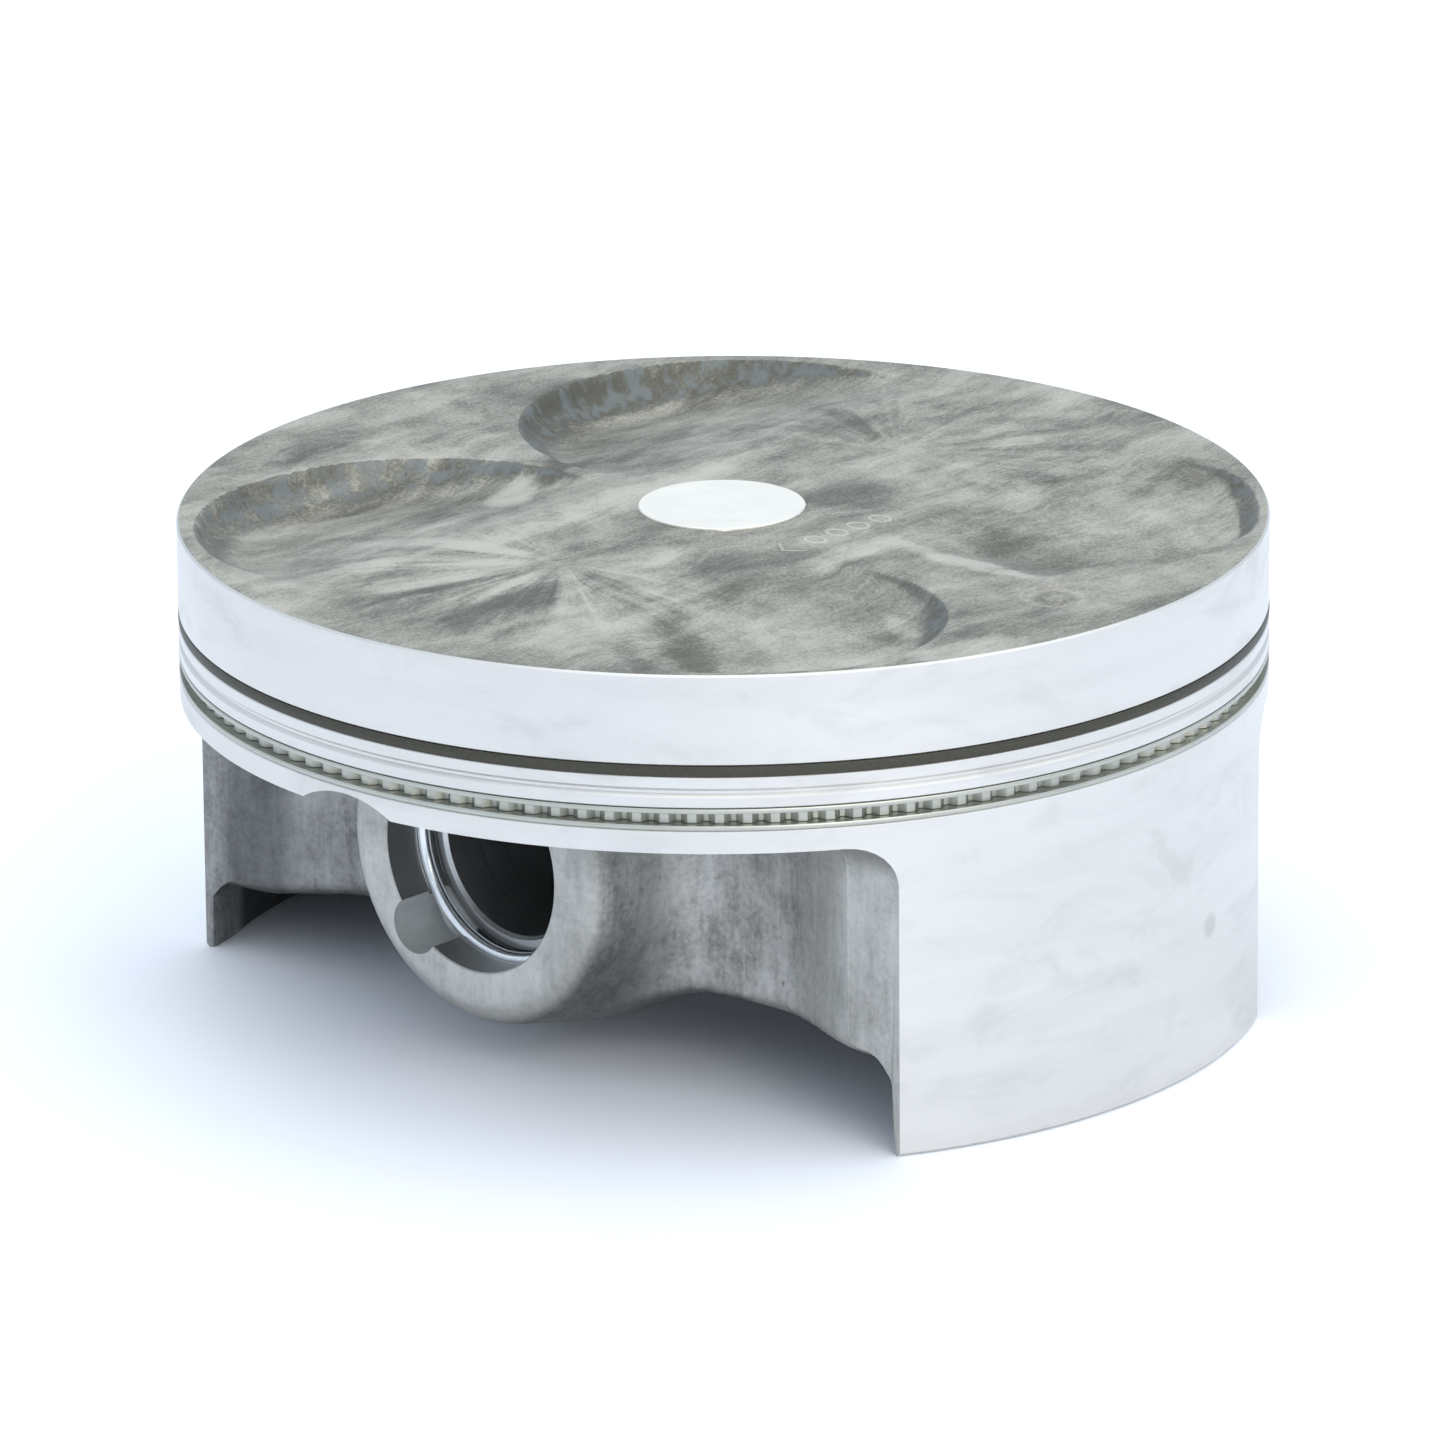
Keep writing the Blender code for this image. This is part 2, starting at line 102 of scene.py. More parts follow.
# %% Sizes of the forging that the boxes can't tell
LOWEST_LAND = 2.0
CROWN_THICKNESS = 7.8
BELT_BOTTOM = OIL_GROOVE[0] - LOWEST_LAND
UNDER_CROWN = CROWN - CROWN_THICKNESS
SKIRT_HALF_WIDTH = 23.6
SKIRT_INNER = (46.36, 45.46)
BELT_INNER = 41.06
BOSS_RADIUS = 14.7
BOSS_TAPER = 0.20
BOSS_WIDEST = 17.2
BOSS_FACES = (12.5, 32.7)
STRUT_WAIST = (20.4, 25.0)
STRUT_EDGE = (23.8, 37.5)
STRUT_WALL = 3.0
STRUT_BOW = 0.009
STRUT_BOTTOM = 8.2
BACK_STRUT_DIP = 1.9
WEB_HALF_WIDTH = 10.2
FACING_STOCK = 0.15
WINDOW_CORNER = 4.0
TOP_GROOVE_DEPTH = 3.5
OIL_GROOVE_DEPTH = 3.3
SHARP_ANGLE = math.radians(32.0)

# %% [markdown]
# ## Helpers for meshes
#
# Everything below ends as a plain mesh at the origin, unturned and unscaled, so a mesh and a
# matrix are all that a helper needs. A turned tool is a closed outline swept about an axis.

# %% Mesh helpers
def mesh_from(name, points, faces):
    """A mesh from points in millimetres."""
    mesh = bpy.data.meshes.new(name)
    mesh.from_pydata([tuple(p) for p in points], [], faces)
    mesh.update()
    return mesh


def linked(name, data):
    """An object with this data, in the scene."""
    thing = bpy.data.objects.new(name, data)
    bpy.context.scene.collection.objects.link(thing)
    return thing


def applied(thing):
    """The mesh that an object's modifiers make; the object itself is taken away."""
    bpy.context.view_layer.update()
    graph = bpy.context.evaluated_depsgraph_get()
    result = bpy.data.meshes.new_from_object(thing.evaluated_get(graph))
    bpy.data.objects.remove(thing, do_unlink=True)
    return result


def outwards(mesh):
    """Turns every face of a closed mesh outwards."""
    editor = bmesh.new()
    editor.from_mesh(mesh)
    bmesh.ops.recalc_face_normals(editor, faces=editor.faces)
    editor.to_mesh(mesh)
    editor.free()
    return mesh


def turned(name, profile, steps, share=1.0, start=0.0):
    """Sweeps a closed (radius, height) outline about Z; a share below 1 leaves two flat ends."""
    whole = share >= 1.0
    count = steps if whole else steps + 1
    ring = len(profile)
    points = []
    for i in range(count):
        angle = start + 2 * math.pi * share * i / steps
        points += [(r * math.cos(angle), r * math.sin(angle), z) for r, z in profile]
    faces = []
    for i in range(steps):
        here = i * ring
        there = ((i + 1) % count) * ring
        for j in range(ring):
            k = (j + 1) % ring
            faces.append((here + j, there + j, there + k, here + k))
    if not whole:
        faces.append(tuple(range(ring)))
        faces.append(tuple(range((count - 1) * ring, count * ring))[::-1])
    mesh = mesh_from(name, points, faces)
    editor = bmesh.new()
    editor.from_mesh(mesh)
    bmesh.ops.remove_doubles(editor, verts=editor.verts, dist=1e-5)
    bmesh.ops.dissolve_degenerate(editor, dist=1e-6, edges=editor.edges)
    bmesh.ops.recalc_face_normals(editor, faces=editor.faces)
    editor.to_mesh(mesh)
    editor.free()
    return mesh


def rod(name, radius, length, steps):
    """A solid cylinder on Z, from 0 to its length."""
    profile = [(0.0, 0.0), (radius, 0.0), (radius, length), (0.0, length)]
    return turned(name, profile, steps)


def block(name, low, high):
    """A box between two corners."""
    mesh = bpy.data.meshes.new(name)
    editor = bmesh.new()
    bmesh.ops.create_cube(editor, size=1.0)
    for vertex in editor.verts:
        vertex.co = [a + (b - a) * (c + 0.5) for a, b, c in zip(low, high, vertex.co)]
    editor.to_mesh(mesh)
    editor.free()
    return mesh


def along_x(mesh, side):
    """Lays a mesh on the Z axis along the pin axis, towards the side +1 or -1."""
    turn = Matrix.Rotation(side * math.pi / 2, 4, "Y")
    mesh.transform(Matrix.Translation((0.0, 0.0, PIN_Z)) @ turn)
    return mesh


def machined(mesh, tools):
    """Cuts or joins (mesh, operation) tools one after another and returns the new mesh."""
    work = linked("work", mesh)
    helpers = []
    for tool, operation in tools:
        helpers.append(linked("tool", tool))
        cut = work.modifiers.new("cut", "BOOLEAN")
        cut.object = helpers[-1]
        cut.operation = operation
        cut.solver = "MANIFOLD"
    result = applied(work)
    for helper in helpers:
        bpy.data.objects.remove(helper, do_unlink=True)
    return result


def triangles(mesh):
    return sum(len(p.vertices) - 2 for p in mesh.polygons)


# %% [markdown]
# ## The forging as a distance field
#
# A forging has no sharp inner corners, because metal can't flow round them. Unions of plain
# solids would need a fillet at every meeting. A distance field gets them for nothing: each
# shape is a number at every point, negative inside, and a *smooth* minimum of two such numbers
# melts one shape into the other. OpenVDB, which Blender carries, turns the field into a mesh.

# %% Smooth joins and cuts of distance fields
def melt(a, b, k):
    """Union of two fields, with a fillet about k wide where they meet."""
    h = np.clip(0.5 + 0.5 * (b - a) / k, 0.0, 1.0)
    return b * (1 - h) + a * h - k * h * (1 - h)


def trim(a, b, k):
    """What lies in both fields, with an edge about k wide."""
    return -melt(-a, -b, k)


VOXEL = 0.55
axis_x = np.arange(-51.0, 51.01, VOXEL, dtype=np.float32)
axis_z = np.arange(-3.0, 41.0, VOXEL, dtype=np.float32)
X, Y, Z = np.meshgrid(axis_x, axis_x, axis_z, indexing="ij")
AX, AY, R = np.abs(X), np.abs(Y), np.hypot(X, Y)
print("field of", X.size, "samples")

# %% [markdown]
# ### Cup, windows, struts and bosses
#
# The cup is the crown, the ring belt and the skirts in one. Two windows take away the sides
# under the belt, so that only the two thrust skirts reach the bottom. Four thin struts tie the
# skirts to the pin bosses, pinched in at the waist to save weight.

# %% The forged shape
def cup_field():
    inner = np.interp(Z, [0.0, 23.0, 30.0, 40.0], [*SKIRT_INNER, BELT_INNER, BELT_INNER])
    thinned_end = np.clip((AX - 20.0) / 3.6, 0.0, 1.0) * np.clip((26.0 - Z) / 3.0, 0.0, 1.0)
    inner = inner + 0.75 * thinned_end
    hollow = trim(R - inner, Z - UNDER_CROWN, 5.0)
    outside = np.maximum(R - (RADIUS + 1.5), Z - (CROWN - 4.7))
    cup = np.maximum(outside, -hollow)
    window = trim(SKIRT_HALF_WIDTH + FACING_STOCK - AX, Z - BELT_BOTTOM + FACING_STOCK, 5.5)
    return trim(cup, -window, 0.6)


def strut_field():
    along = np.clip((AY - STRUT_WAIST[1]) / (STRUT_EDGE[1] - STRUT_WAIST[1]), 0.0, 1.0)
    outer = STRUT_WAIST[0] + (STRUT_EDGE[0] - STRUT_WAIST[0]) * along**2 * (3.0 - 2.0 * along)
    outer = outer + STRUT_BOW * np.maximum(STRUT_WAIST[1] - AY, 0.0) ** 2
    wall = trim(AX - outer, outer - STRUT_WALL - AX, 0.8)
    dip = BACK_STRUT_DIP * np.clip((-Y - 18.0) / 16.0, 0.0, 1.0)
    wall = trim(wall, STRUT_BOTTOM - dip - Z, 1.2)
    return np.maximum(wall, np.maximum(R - RADIUS + 0.6, 5.0 - AY))


def boss_field():
    downwards = np.clip((PIN_Z - Z) / BOSS_RADIUS, 0.0, 1.0) ** 2
    draft = BOSS_TAPER * (0.3 + 0.7 * downwards)
    taper = np.minimum(BOSS_RADIUS + draft * (BOSS_FACES[1] - AX), BOSS_WIDEST)
    drum = np.hypot(Y, Z - PIN_Z) - taper
    web = np.maximum(AY - WEB_HALF_WIDTH, PIN_Z - Z)
    shape = melt(drum, web, 3.0)
    shape = trim(shape, AX - BOSS_FACES[1], 2.4)
    return trim(shape, BOSS_FACES[0] - AX, 0.8)


def forging_field():
    shape = melt(cup_field(), strut_field(), 2.0)
    return melt(shape, boss_field(), 4.8)


def grown(name, field, share):
    """The zero surface of a field as a mesh, with flat areas thinned to a share of the faces."""
    grid = openvdb.FloatGrid(3.0)
    grid.copyFromArray(np.ascontiguousarray(field, dtype=np.float32))
    points, quads = grid.convertToQuads(isovalue=0.0)
    points = points * VOXEL + np.array([axis_x[0], axis_x[0], axis_z[0]])
    mesh = outwards(mesh_from(name, points.tolist(), quads.tolist()))
    return thinned(mesh, share)


def thinned(mesh, share):
    """Collapses the least useful edges until a share of the triangles is left."""
    work = linked("work", mesh)
    decimate = work.modifiers.new("thin", "DECIMATE")
    decimate.ratio = share
    return applied(work)


forging = grown("forging", forging_field(), 0.42)
print("forging:", triangles(forging), "triangles")

# %% [markdown]
# ## The crown
#
# Seen from above the crown is a height for every point, so a grid of points moved up or down
# describes it fully. The four valve pockets are round, with floors that tilt as their valves
# do, and with the soft edges that a forging die leaves.

# %% Crown relief
INTAKE = {"x": 21.4, "y": 23.1, "radius": 16.9, "fillet": 5.6, "start": 15.7, "tilt": 6.5}
EXHAUST = {"x": 20.7, "y": -16.6, "radius": 20.4, "fillet": 7.0, "start": 11.8, "tilt": 10.0}
PAD = {"x": -0.5, "y": -0.6, "radius": 7.35}
EJECTOR_Y = 38.8
TICK = ((-2.2, -38.6, 0.6, -39.6), (0.6, -39.6, 1.6, -36.6))


def soft_step(value, low, high):
    t = np.clip((value - low) / (high - low), 0.0, 1.0)
    return t * t * (3 - 2 * t)


def pocket_floor(y, pocket):
    """Depth of the tilted floor, which starts along a line across the crown."""
    towards = math.copysign(1.0, pocket["y"])
    reach = towards * y - pocket["start"]
    return math.tan(math.radians(pocket["tilt"])) * (reach + np.sqrt(reach**2 + 1.5)) / 2


def pocket_depth(x, y, pocket, side):
    """How deep one round pocket is: steep at its edge, then a broad fillet into the floor."""
    off_centre = np.hypot(x - side * pocket["x"], y - pocket["y"])
    inside = np.clip((pocket["radius"] - off_centre) / pocket["fillet"], 0.0, 1.0)
    wall = (1.0 - (1.0 - inside) ** 2.4) * soft_step(inside, 0.0, 0.16)
    return pocket_floor(y, pocket) * wall


def mark_depth(x, y):
    """Shallow marks of the die: an ejector ring, a small ring and a tick."""
    ejector = np.abs(np.hypot(x, y - EJECTOR_Y) - 2.2)
    depth = 0.26 * (1.0 - soft_step(ejector, 0.35, 1.1))
    small = np.abs(np.hypot(x + 25.0, y + 3.3) - 1.5)
    depth += 0.18 * (1.0 - soft_step(small, 0.2, 0.8))
    for x0, y0, x1, y1 in TICK:
        dx, dy = x1 - x0, y1 - y0
        along = np.clip(((x - x0) * dx + (y - y0) * dy) / (dx**2 + dy**2), 0, 1)
        away = np.hypot(x - x0 - along * dx, y - y0 - along * dy)
        depth -= 0.22 * (1.0 - soft_step(away, 0.1, 0.55))
    return depth


def crown_height(x, y):
    depth = np.zeros_like(x)
    for pocket in (INTAKE, EXHAUST):
        for side in (1, -1):
            depth = np.maximum(depth, pocket_depth(x, y, pocket, side))
    depth *= soft_step(RADIUS - np.hypot(x, y), 0.7, 2.6)
    flank = np.minimum(pocket_floor(y, INTAKE), 0.21 * np.maximum(-2.0 - x, 0.0))
    flank *= soft_step(35.5 - y, 0.0, 3.0) * (x > -15.0)
    depth = np.maximum(depth, flank) + mark_depth(x, y)
    swell = np.sin(x * 0.31 + 1.3 * np.sin(y * 0.19)) * np.sin(y * 0.27 + 1.1 * np.sin(x * 0.23))
    swell *= soft_step(np.hypot(x, y), 47.2, 44.0)
    return np.minimum(CROWN - depth + 0.035 * swell, CROWN + 0.12)


def crown_slab():
    spacing = 0.34
    line = np.arange(-50.32, 50.4, spacing)
    count = len(line)
    gx, gy = np.meshgrid(line, line, indexing="ij")
    top = np.stack([gx, gy, crown_height(gx, gy)], axis=-1).reshape(-1, 3)
    index = np.arange(count * count).reshape(count, count)
    quads = np.stack([index[:-1, :-1], index[1:, :-1], index[1:, 1:], index[:-1, 1:]], axis=-1)
    border = np.concatenate([index[:, 0], index[-1, 1:], index[-2::-1, -1], index[0, -2:0:-1]])
    low = top[border].copy()
    low[:, 2] = CROWN - 5.5
    first = len(top)
    faces = quads.reshape(-1, 4).tolist()
    for i in range(len(border)):
        j = (i + 1) % len(border)
        faces.append((int(border[j]), int(border[i]), first + i, first + j))
    faces.append(tuple(first + i for i in range(len(border)))[::-1])
    slab = mesh_from("crown", np.concatenate([top, low]).tolist(), faces)
    return thinned(outwards(slab), 0.45)


slab = crown_slab()
print("crown slab:", triangles(slab), "triangles")

# %% [markdown]
# ## Machining
#
# The lathe tool is one closed outline that lies all round the piston, with teeth where the
# grooves go. Cutting with it gives the true cylinder, the ring grooves, the shallow V on the
# second land and a fine broken edge everywhere, all at once.

# %% Lathe, borer and drills
LATHE_STEPS = 288
BREAK = 0.12
CROWN_EDGE = 0.18
OIL_GROOVE_IN_BORE = (20.3, 20.9)
DRAIN_ANGLES = (56.0, 82.0, 98.0, 124.0, 236.0, 262.0, 278.0, 304.0)
DRAIN_RADIUS = 1.05
DRAIN_LENGTH = 5.6
DRAIN_OVERLAP = 1.0


def lathe_tool():
    """Everything outside the finished piston, as one outline swept about the axis."""
    far = RADIUS + 28.0
    top_floor = RADIUS - TOP_GROOVE_DEPTH
    oil_floor = RADIUS - OIL_GROOVE_DEPTH
    v_middle = (TOP_GROOVE[0] + OIL_GROOVE[1]) / 2
    profile = [(far, CROWN + 3.0), (RADIUS - 3.0 - CROWN_EDGE, CROWN + 3.0), (RADIUS, CROWN - CROWN_EDGE)]
    for (low, high), floor in ((TOP_GROOVE, top_floor), (OIL_GROOVE, oil_floor)):
        profile += [
            (RADIUS, high + BREAK),
            (RADIUS - BREAK, high),
            (floor, high),
            (floor, low),
            (RADIUS - BREAK, low),
            (RADIUS, low - BREAK),
        ]
        if floor == top_floor:
            profile += [
                (RADIUS, v_middle + 0.42),
                (RADIUS - 0.32, v_middle + 0.12),
                (RADIUS - 0.32, v_middle - 0.12),
                (RADIUS, v_middle - 0.42),
            ]
    profile += [(RADIUS, 0.3), (RADIUS - 0.3, 0.0), (RADIUS - 0.3, -5.0), (far, -5.0)]
    return turned("lathe_tool", profile, LATHE_STEPS)


def bore_tool(side):
    """The pin bore, its oil groove, its circlip groove and the broken edge of its mouth."""
    inner, outer = BOSS_FACES
    profile = [
        (0.0, inner - 3.0),
        (BORE_RADIUS + 3.4, inner - 3.0),
        (BORE_RADIUS + 0.4, inner),
        (BORE_RADIUS, inner + 0.4),
        (BORE_RADIUS, OIL_GROOVE_IN_BORE[0]),
        (BORE_RADIUS + 0.4, OIL_GROOVE_IN_BORE[0]),
        (BORE_RADIUS + 0.4, OIL_GROOVE_IN_BORE[1]),
        (BORE_RADIUS, OIL_GROOVE_IN_BORE[1]),
        (BORE_RADIUS, CLIP_GROOVE[0]),
        (CLIP_GROOVE_RADIUS - 0.2, CLIP_GROOVE[0]),
        (CLIP_GROOVE_RADIUS, CLIP_GROOVE[0] + 0.25),
        (CLIP_GROOVE_RADIUS, CLIP_GROOVE[1] - 0.25),
        (CLIP_GROOVE_RADIUS - 0.2, CLIP_GROOVE[1]),
        (BORE_RADIUS, CLIP_GROOVE[1]),
        (BORE_RADIUS, outer - 0.12),
        (BORE_RADIUS + 0.24, outer + 0.12),
        (BORE_RADIUS, outer + 0.36),
        (BORE_RADIUS, RADIUS + 3.0),
        (0.0, RADIUS + 3.0),
    ]
    return along_x(turned("bore_tool", profile, 128), side)


NOTCH_ANGLE = math.radians(-132.0)
NOTCH_RADIUS = 2.55
NOTCH_Y = BORE_RADIUS * math.cos(NOTCH_ANGLE)
NOTCH_RISE = BORE_RADIUS * math.sin(NOTCH_ANGLE)


def notch_tool(side):
    """A ball-nosed pocket beside the bore that lets a pick lift the circlip."""
    start = CLIP_GROOVE[0] - 1.1
    turns = np.linspace(0, math.pi / 2, 7)
    nose = [(NOTCH_RADIUS * math.sin(a), start + 0.7 * (1 - math.cos(a))) for a in turns]
    tool = along_x(turned("notch_tool", nose + [(NOTCH_RADIUS, 36.0), (0.0, 36.0)], 48), side)
    tool.transform(Matrix.Translation((0.0, NOTCH_Y, NOTCH_RISE)))
    return tool


def drain_drills():
    """Oil drain holes on both thrust sides, out of the floor of the oil groove."""
    made = []
    middle = sum(OIL_GROOVE) / 2
    start = RADIUS - OIL_GROOVE_DEPTH + DRAIN_OVERLAP - DRAIN_LENGTH
    for angle in DRAIN_ANGLES:
        drill = rod("drain", DRAIN_RADIUS, DRAIN_LENGTH, 24)
        drill.transform(Matrix.Rotation(math.pi / 2, 4, "Y"))
        drill.transform(Matrix.Translation((start, 0.0, middle)))
        drill.transform(Matrix.Rotation(math.radians(angle), 4, "Z"))
        made.append(drill)
    return made


def window_cutters():
    """Faces the skirt ends and the underside of the ring belt, round a filleted corner."""
    corner = []
    for a in np.linspace(0, math.pi / 2, 9):
        across = SKIRT_HALF_WIDTH + WINDOW_CORNER * (1 - math.cos(a))
        corner.append((across, BELT_BOTTOM - WINDOW_CORNER * (1 - math.sin(a))))
    outline = [(SKIRT_HALF_WIDTH, -6.0)] + corner + [(60.0, BELT_BOTTOM), (60.0, -6.0)]
    made = []
    for side in (1, -1):
        points = [(side * x, y, z) for y in (-60.0, 60.0) for x, z in outline]
        count = len(outline)
        faces = [(i, (i + 1) % count, count + (i + 1) % count, count + i) for i in range(count)]
        faces += [tuple(range(count))[::-1], tuple(range(count, 2 * count))]
        cutter = outwards(mesh_from("window", points, faces))
        core = rod("core", 43.0, 60.0, 192)
        core.transform(Matrix.Translation((0.0, 0.0, -15.0)))
        made.append(machined(cutter, [(core, "DIFFERENCE")]))
    return made


def centre_pad():
    """The low turned disc that the lathe centre leaves in the middle of the crown."""
    radius = PAD["radius"]
    edge = 0.08
    profile = [(0.0, CROWN - 2.0), (radius, CROWN - 2.0), (radius, PAD_TOP - edge)]
    pad = turned("centre_pad", profile + [(radius - edge, PAD_TOP), (0.0, PAD_TOP)], 96)
    pad.transform(Matrix.Translation((PAD["x"], PAD["y"], 0.0)))
    return pad


tools = [(slab, "UNION"), (lathe_tool(), "DIFFERENCE")]
tools.append((block("floor_cut", (-60, -60, -20), (60, 60, 0)), "DIFFERENCE"))
tools += [(cutter, "DIFFERENCE") for cutter in window_cutters()]
for side in (1, -1):
    tools.append((bore_tool(side), "DIFFERENCE"))
    tools.append((notch_tool(side), "DIFFERENCE"))
tools += [(drill, "DIFFERENCE") for drill in drain_drills()]
tools.append((centre_pad(), "UNION"))
body_mesh = machined(forging, tools)
print("machined piston:", triangles(body_mesh), "triangles")

# %% [markdown]
# ## Shader maths in plain Python
#
# A finish is easier to read as a formula than as a web of nodes. `Field` wraps one output of a
# node, and Python's own operators add the Math nodes. `Finish` is a material under
# construction: its one method `node` makes any node from its type, its settings and its inputs.

# %% Field and Finish
def add_node(tree, kind, settings, inputs):
    """Adds a node, sets its properties, and sets or links its inputs."""
    made = tree.nodes.new(kind)
    for name, value in (settings or {}).items():
        setattr(made, name, value)
    pairs = enumerate(inputs) if isinstance(inputs, (list, tuple)) else (inputs or {}).items()
    for key, value in pairs:
        value = value.socket if isinstance(value, Field) else value
        if isinstance(value, bpy.types.NodeSocket):
            tree.links.new(value, made.inputs[key])
        else:
            made.inputs[key].default_value = value
    return made


class Field:
    """One value or vector that varies over a surface."""

    def __init__(self, finish, socket):
        self.finish = finish
        self.socket = socket

    def math(self, operation, *others):
        return self.finish.node("ShaderNodeMath", {"operation": operation}, [self, *others])

    def __add__(self, other):
        return self.math("ADD", other)

    def __sub__(self, other):
        return self.math("SUBTRACT", other)

    def __mul__(self, other):
        return self.math("MULTIPLY", other)

    def __truediv__(self, other):
        return self.math("DIVIDE", other)

    def __radd__(self, other):
        return self.math("ADD", other)

    def __rsub__(self, other):
        return self.finish.node("ShaderNodeMath", {"operation": "SUBTRACT"}, [other, self])

    def __pow__(self, other):
        return self.math("POWER", other)

    def absolute(self):
        return self.math("ABSOLUTE")

    def step(self, low, high, start=0.0, end=1.0):
        """Eases from start to end as the value goes from low to high."""
        settings = {"interpolation_type": "SMOOTHSTEP"}
        return self.finish.node("ShaderNodeMapRange", settings, [self, low, high, start, end])


class Finish:
    """A material under construction."""

    def __init__(self, name):
        self.material = bpy.data.materials.new(name)
        self.material.use_nodes = True
        self.tree = self.material.node_tree
        self.shader = self.tree.nodes["Principled BSDF"]
        place = self.node("ShaderNodeTexCoord", output="Object")
        self.place = self.node("ShaderNodeVectorMath", {"operation": "SCALE"}, {0: place, "Scale": 1 / MM})
        self.x, self.y, self.z = self.split(self.place)

    def node(self, kind, settings=None, inputs=None, output=0):
        return Field(self, add_node(self.tree, kind, settings, inputs).outputs[output])

    def split(self, vector):
        made = add_node(self.tree, "ShaderNodeSeparateXYZ", None, [vector])
        return [Field(self, socket) for socket in made.outputs]

    def join(self, x, y, z):
        return self.node("ShaderNodeCombineXYZ", None, [x, y, z])

    def noise(self, vector, scale, detail=4.0, roughness=0.55, distortion=0.0, output=0):
        inputs = {"Vector": vector, "Scale": scale, "Detail": detail}
        inputs |= {"Roughness": roughness, "Distortion": distortion}
        return self.node("ShaderNodeTexNoise", {"noise_dimensions": "3D"}, inputs, output)

    def mix(self, share, a, b):
        """A colour between two colours."""
        settings = {"data_type": "RGBA"}
        a = a if isinstance(a, Field) else (*a, 1.0)
        b = b if isinstance(b, Field) else (*b, 1.0)
        return self.node("ShaderNodeMix", settings, {0: share, 6: a, 7: b}, output=2)

    def bump(self, height, strength, distance):
        inputs = {"Strength": strength, "Distance": distance, "Height": height}
        return self.node("ShaderNodeBump", None, inputs)

    def set(self, **values):
        """Sets or links sockets of the shader; an underscore in a name stands for a space."""
        for name, value in values.items():
            socket = self.shader.inputs[name.replace("_", " ")]
            if isinstance(value, Field):
                self.tree.links.new(value.socket, socket)
            else:
                socket.default_value = value
        return self.material


# %% [markdown]
# ## Finishes of the piston
#
# Three processes leave three skins. Hot forging leaves a mottled, greenish grey with smears
# that show how the metal flowed away from the middle of each pocket. Turning leaves a bright
# satin with rings too fine to count. Boring and honing leave a darker, smoother bore.

# %% Forged crown
SMEARS = (
    # x, y, half length, half width, turn in degrees, lightness
    (31.0, 3.2, 8.0, 3.2, 8.0, -0.30),
    (28.5, 22.5, 8.5, 2.2, 56.0, -0.26),
    (34.0, 21.0, 6.0, 1.3, 50.0, -0.16),
    (31.5, -4.6, 9.0, 0.9, -8.0, -0.22),
    (22.5, 26.5, 6.0, 1.6, 60.0, 0.16),
    (19.0, 12.0, 9.0, 4.0, 50.0, 0.14),
    (30.0, -13.0, 11.0, 2.6, -12.0, 0.20),
    (2.0, -11.0, 19.0, 3.6, -4.0, 0.20),
    (4.0, -21.3, 5.0, 2.0, 32.0, 0.42),
    (-12.5, 3.5, 5.0, 4.5, 20.0, -0.20),
    (12.0, 3.4, 3.4, 1.6, 0.0, 0.26),
    (8.5, 10.5, 7.0, 3.0, -20.0, -0.18),
    (-21.0, 11.5, 5.0, 5.5, 0.0, 0.22),
    (-5.0, 25.5, 1.9, 10.0, 4.0, 0.34),
    (0.5, 15.6, 7.0, 2.0, 0.0, 0.26),
    (-12.5, 26.5, 4.0, 9.0, 0.0, -0.16),
    (14.5, 42.0, 6.0, 2.6, -22.0, 0.20),
    (9.5, 29.0, 1.4, 3.0, -20.0, 0.22),
    (13.5, -34.0, 7.0, 1.8, -14.0, -0.30),
    (-23.0, -36.5, 9.0, 1.6, -6.0, -0.22),
    (-4.5, -22.5, 6.0, 1.5, 24.0, -0.34),
    (4.5, -36.0, 9.0, 5.0, 0.0, 0.16),
)


SMEAR_SHIFT = 4.5
FLOW_HUBS = ((20.8, 3.0, 1.0, 2.1), (-23.0, 7.0, -1.0, 1.3))
STAMP_Y = 12.2
STAMP_DOTS = (-7.0, -4.2, -1.4, 1.4)


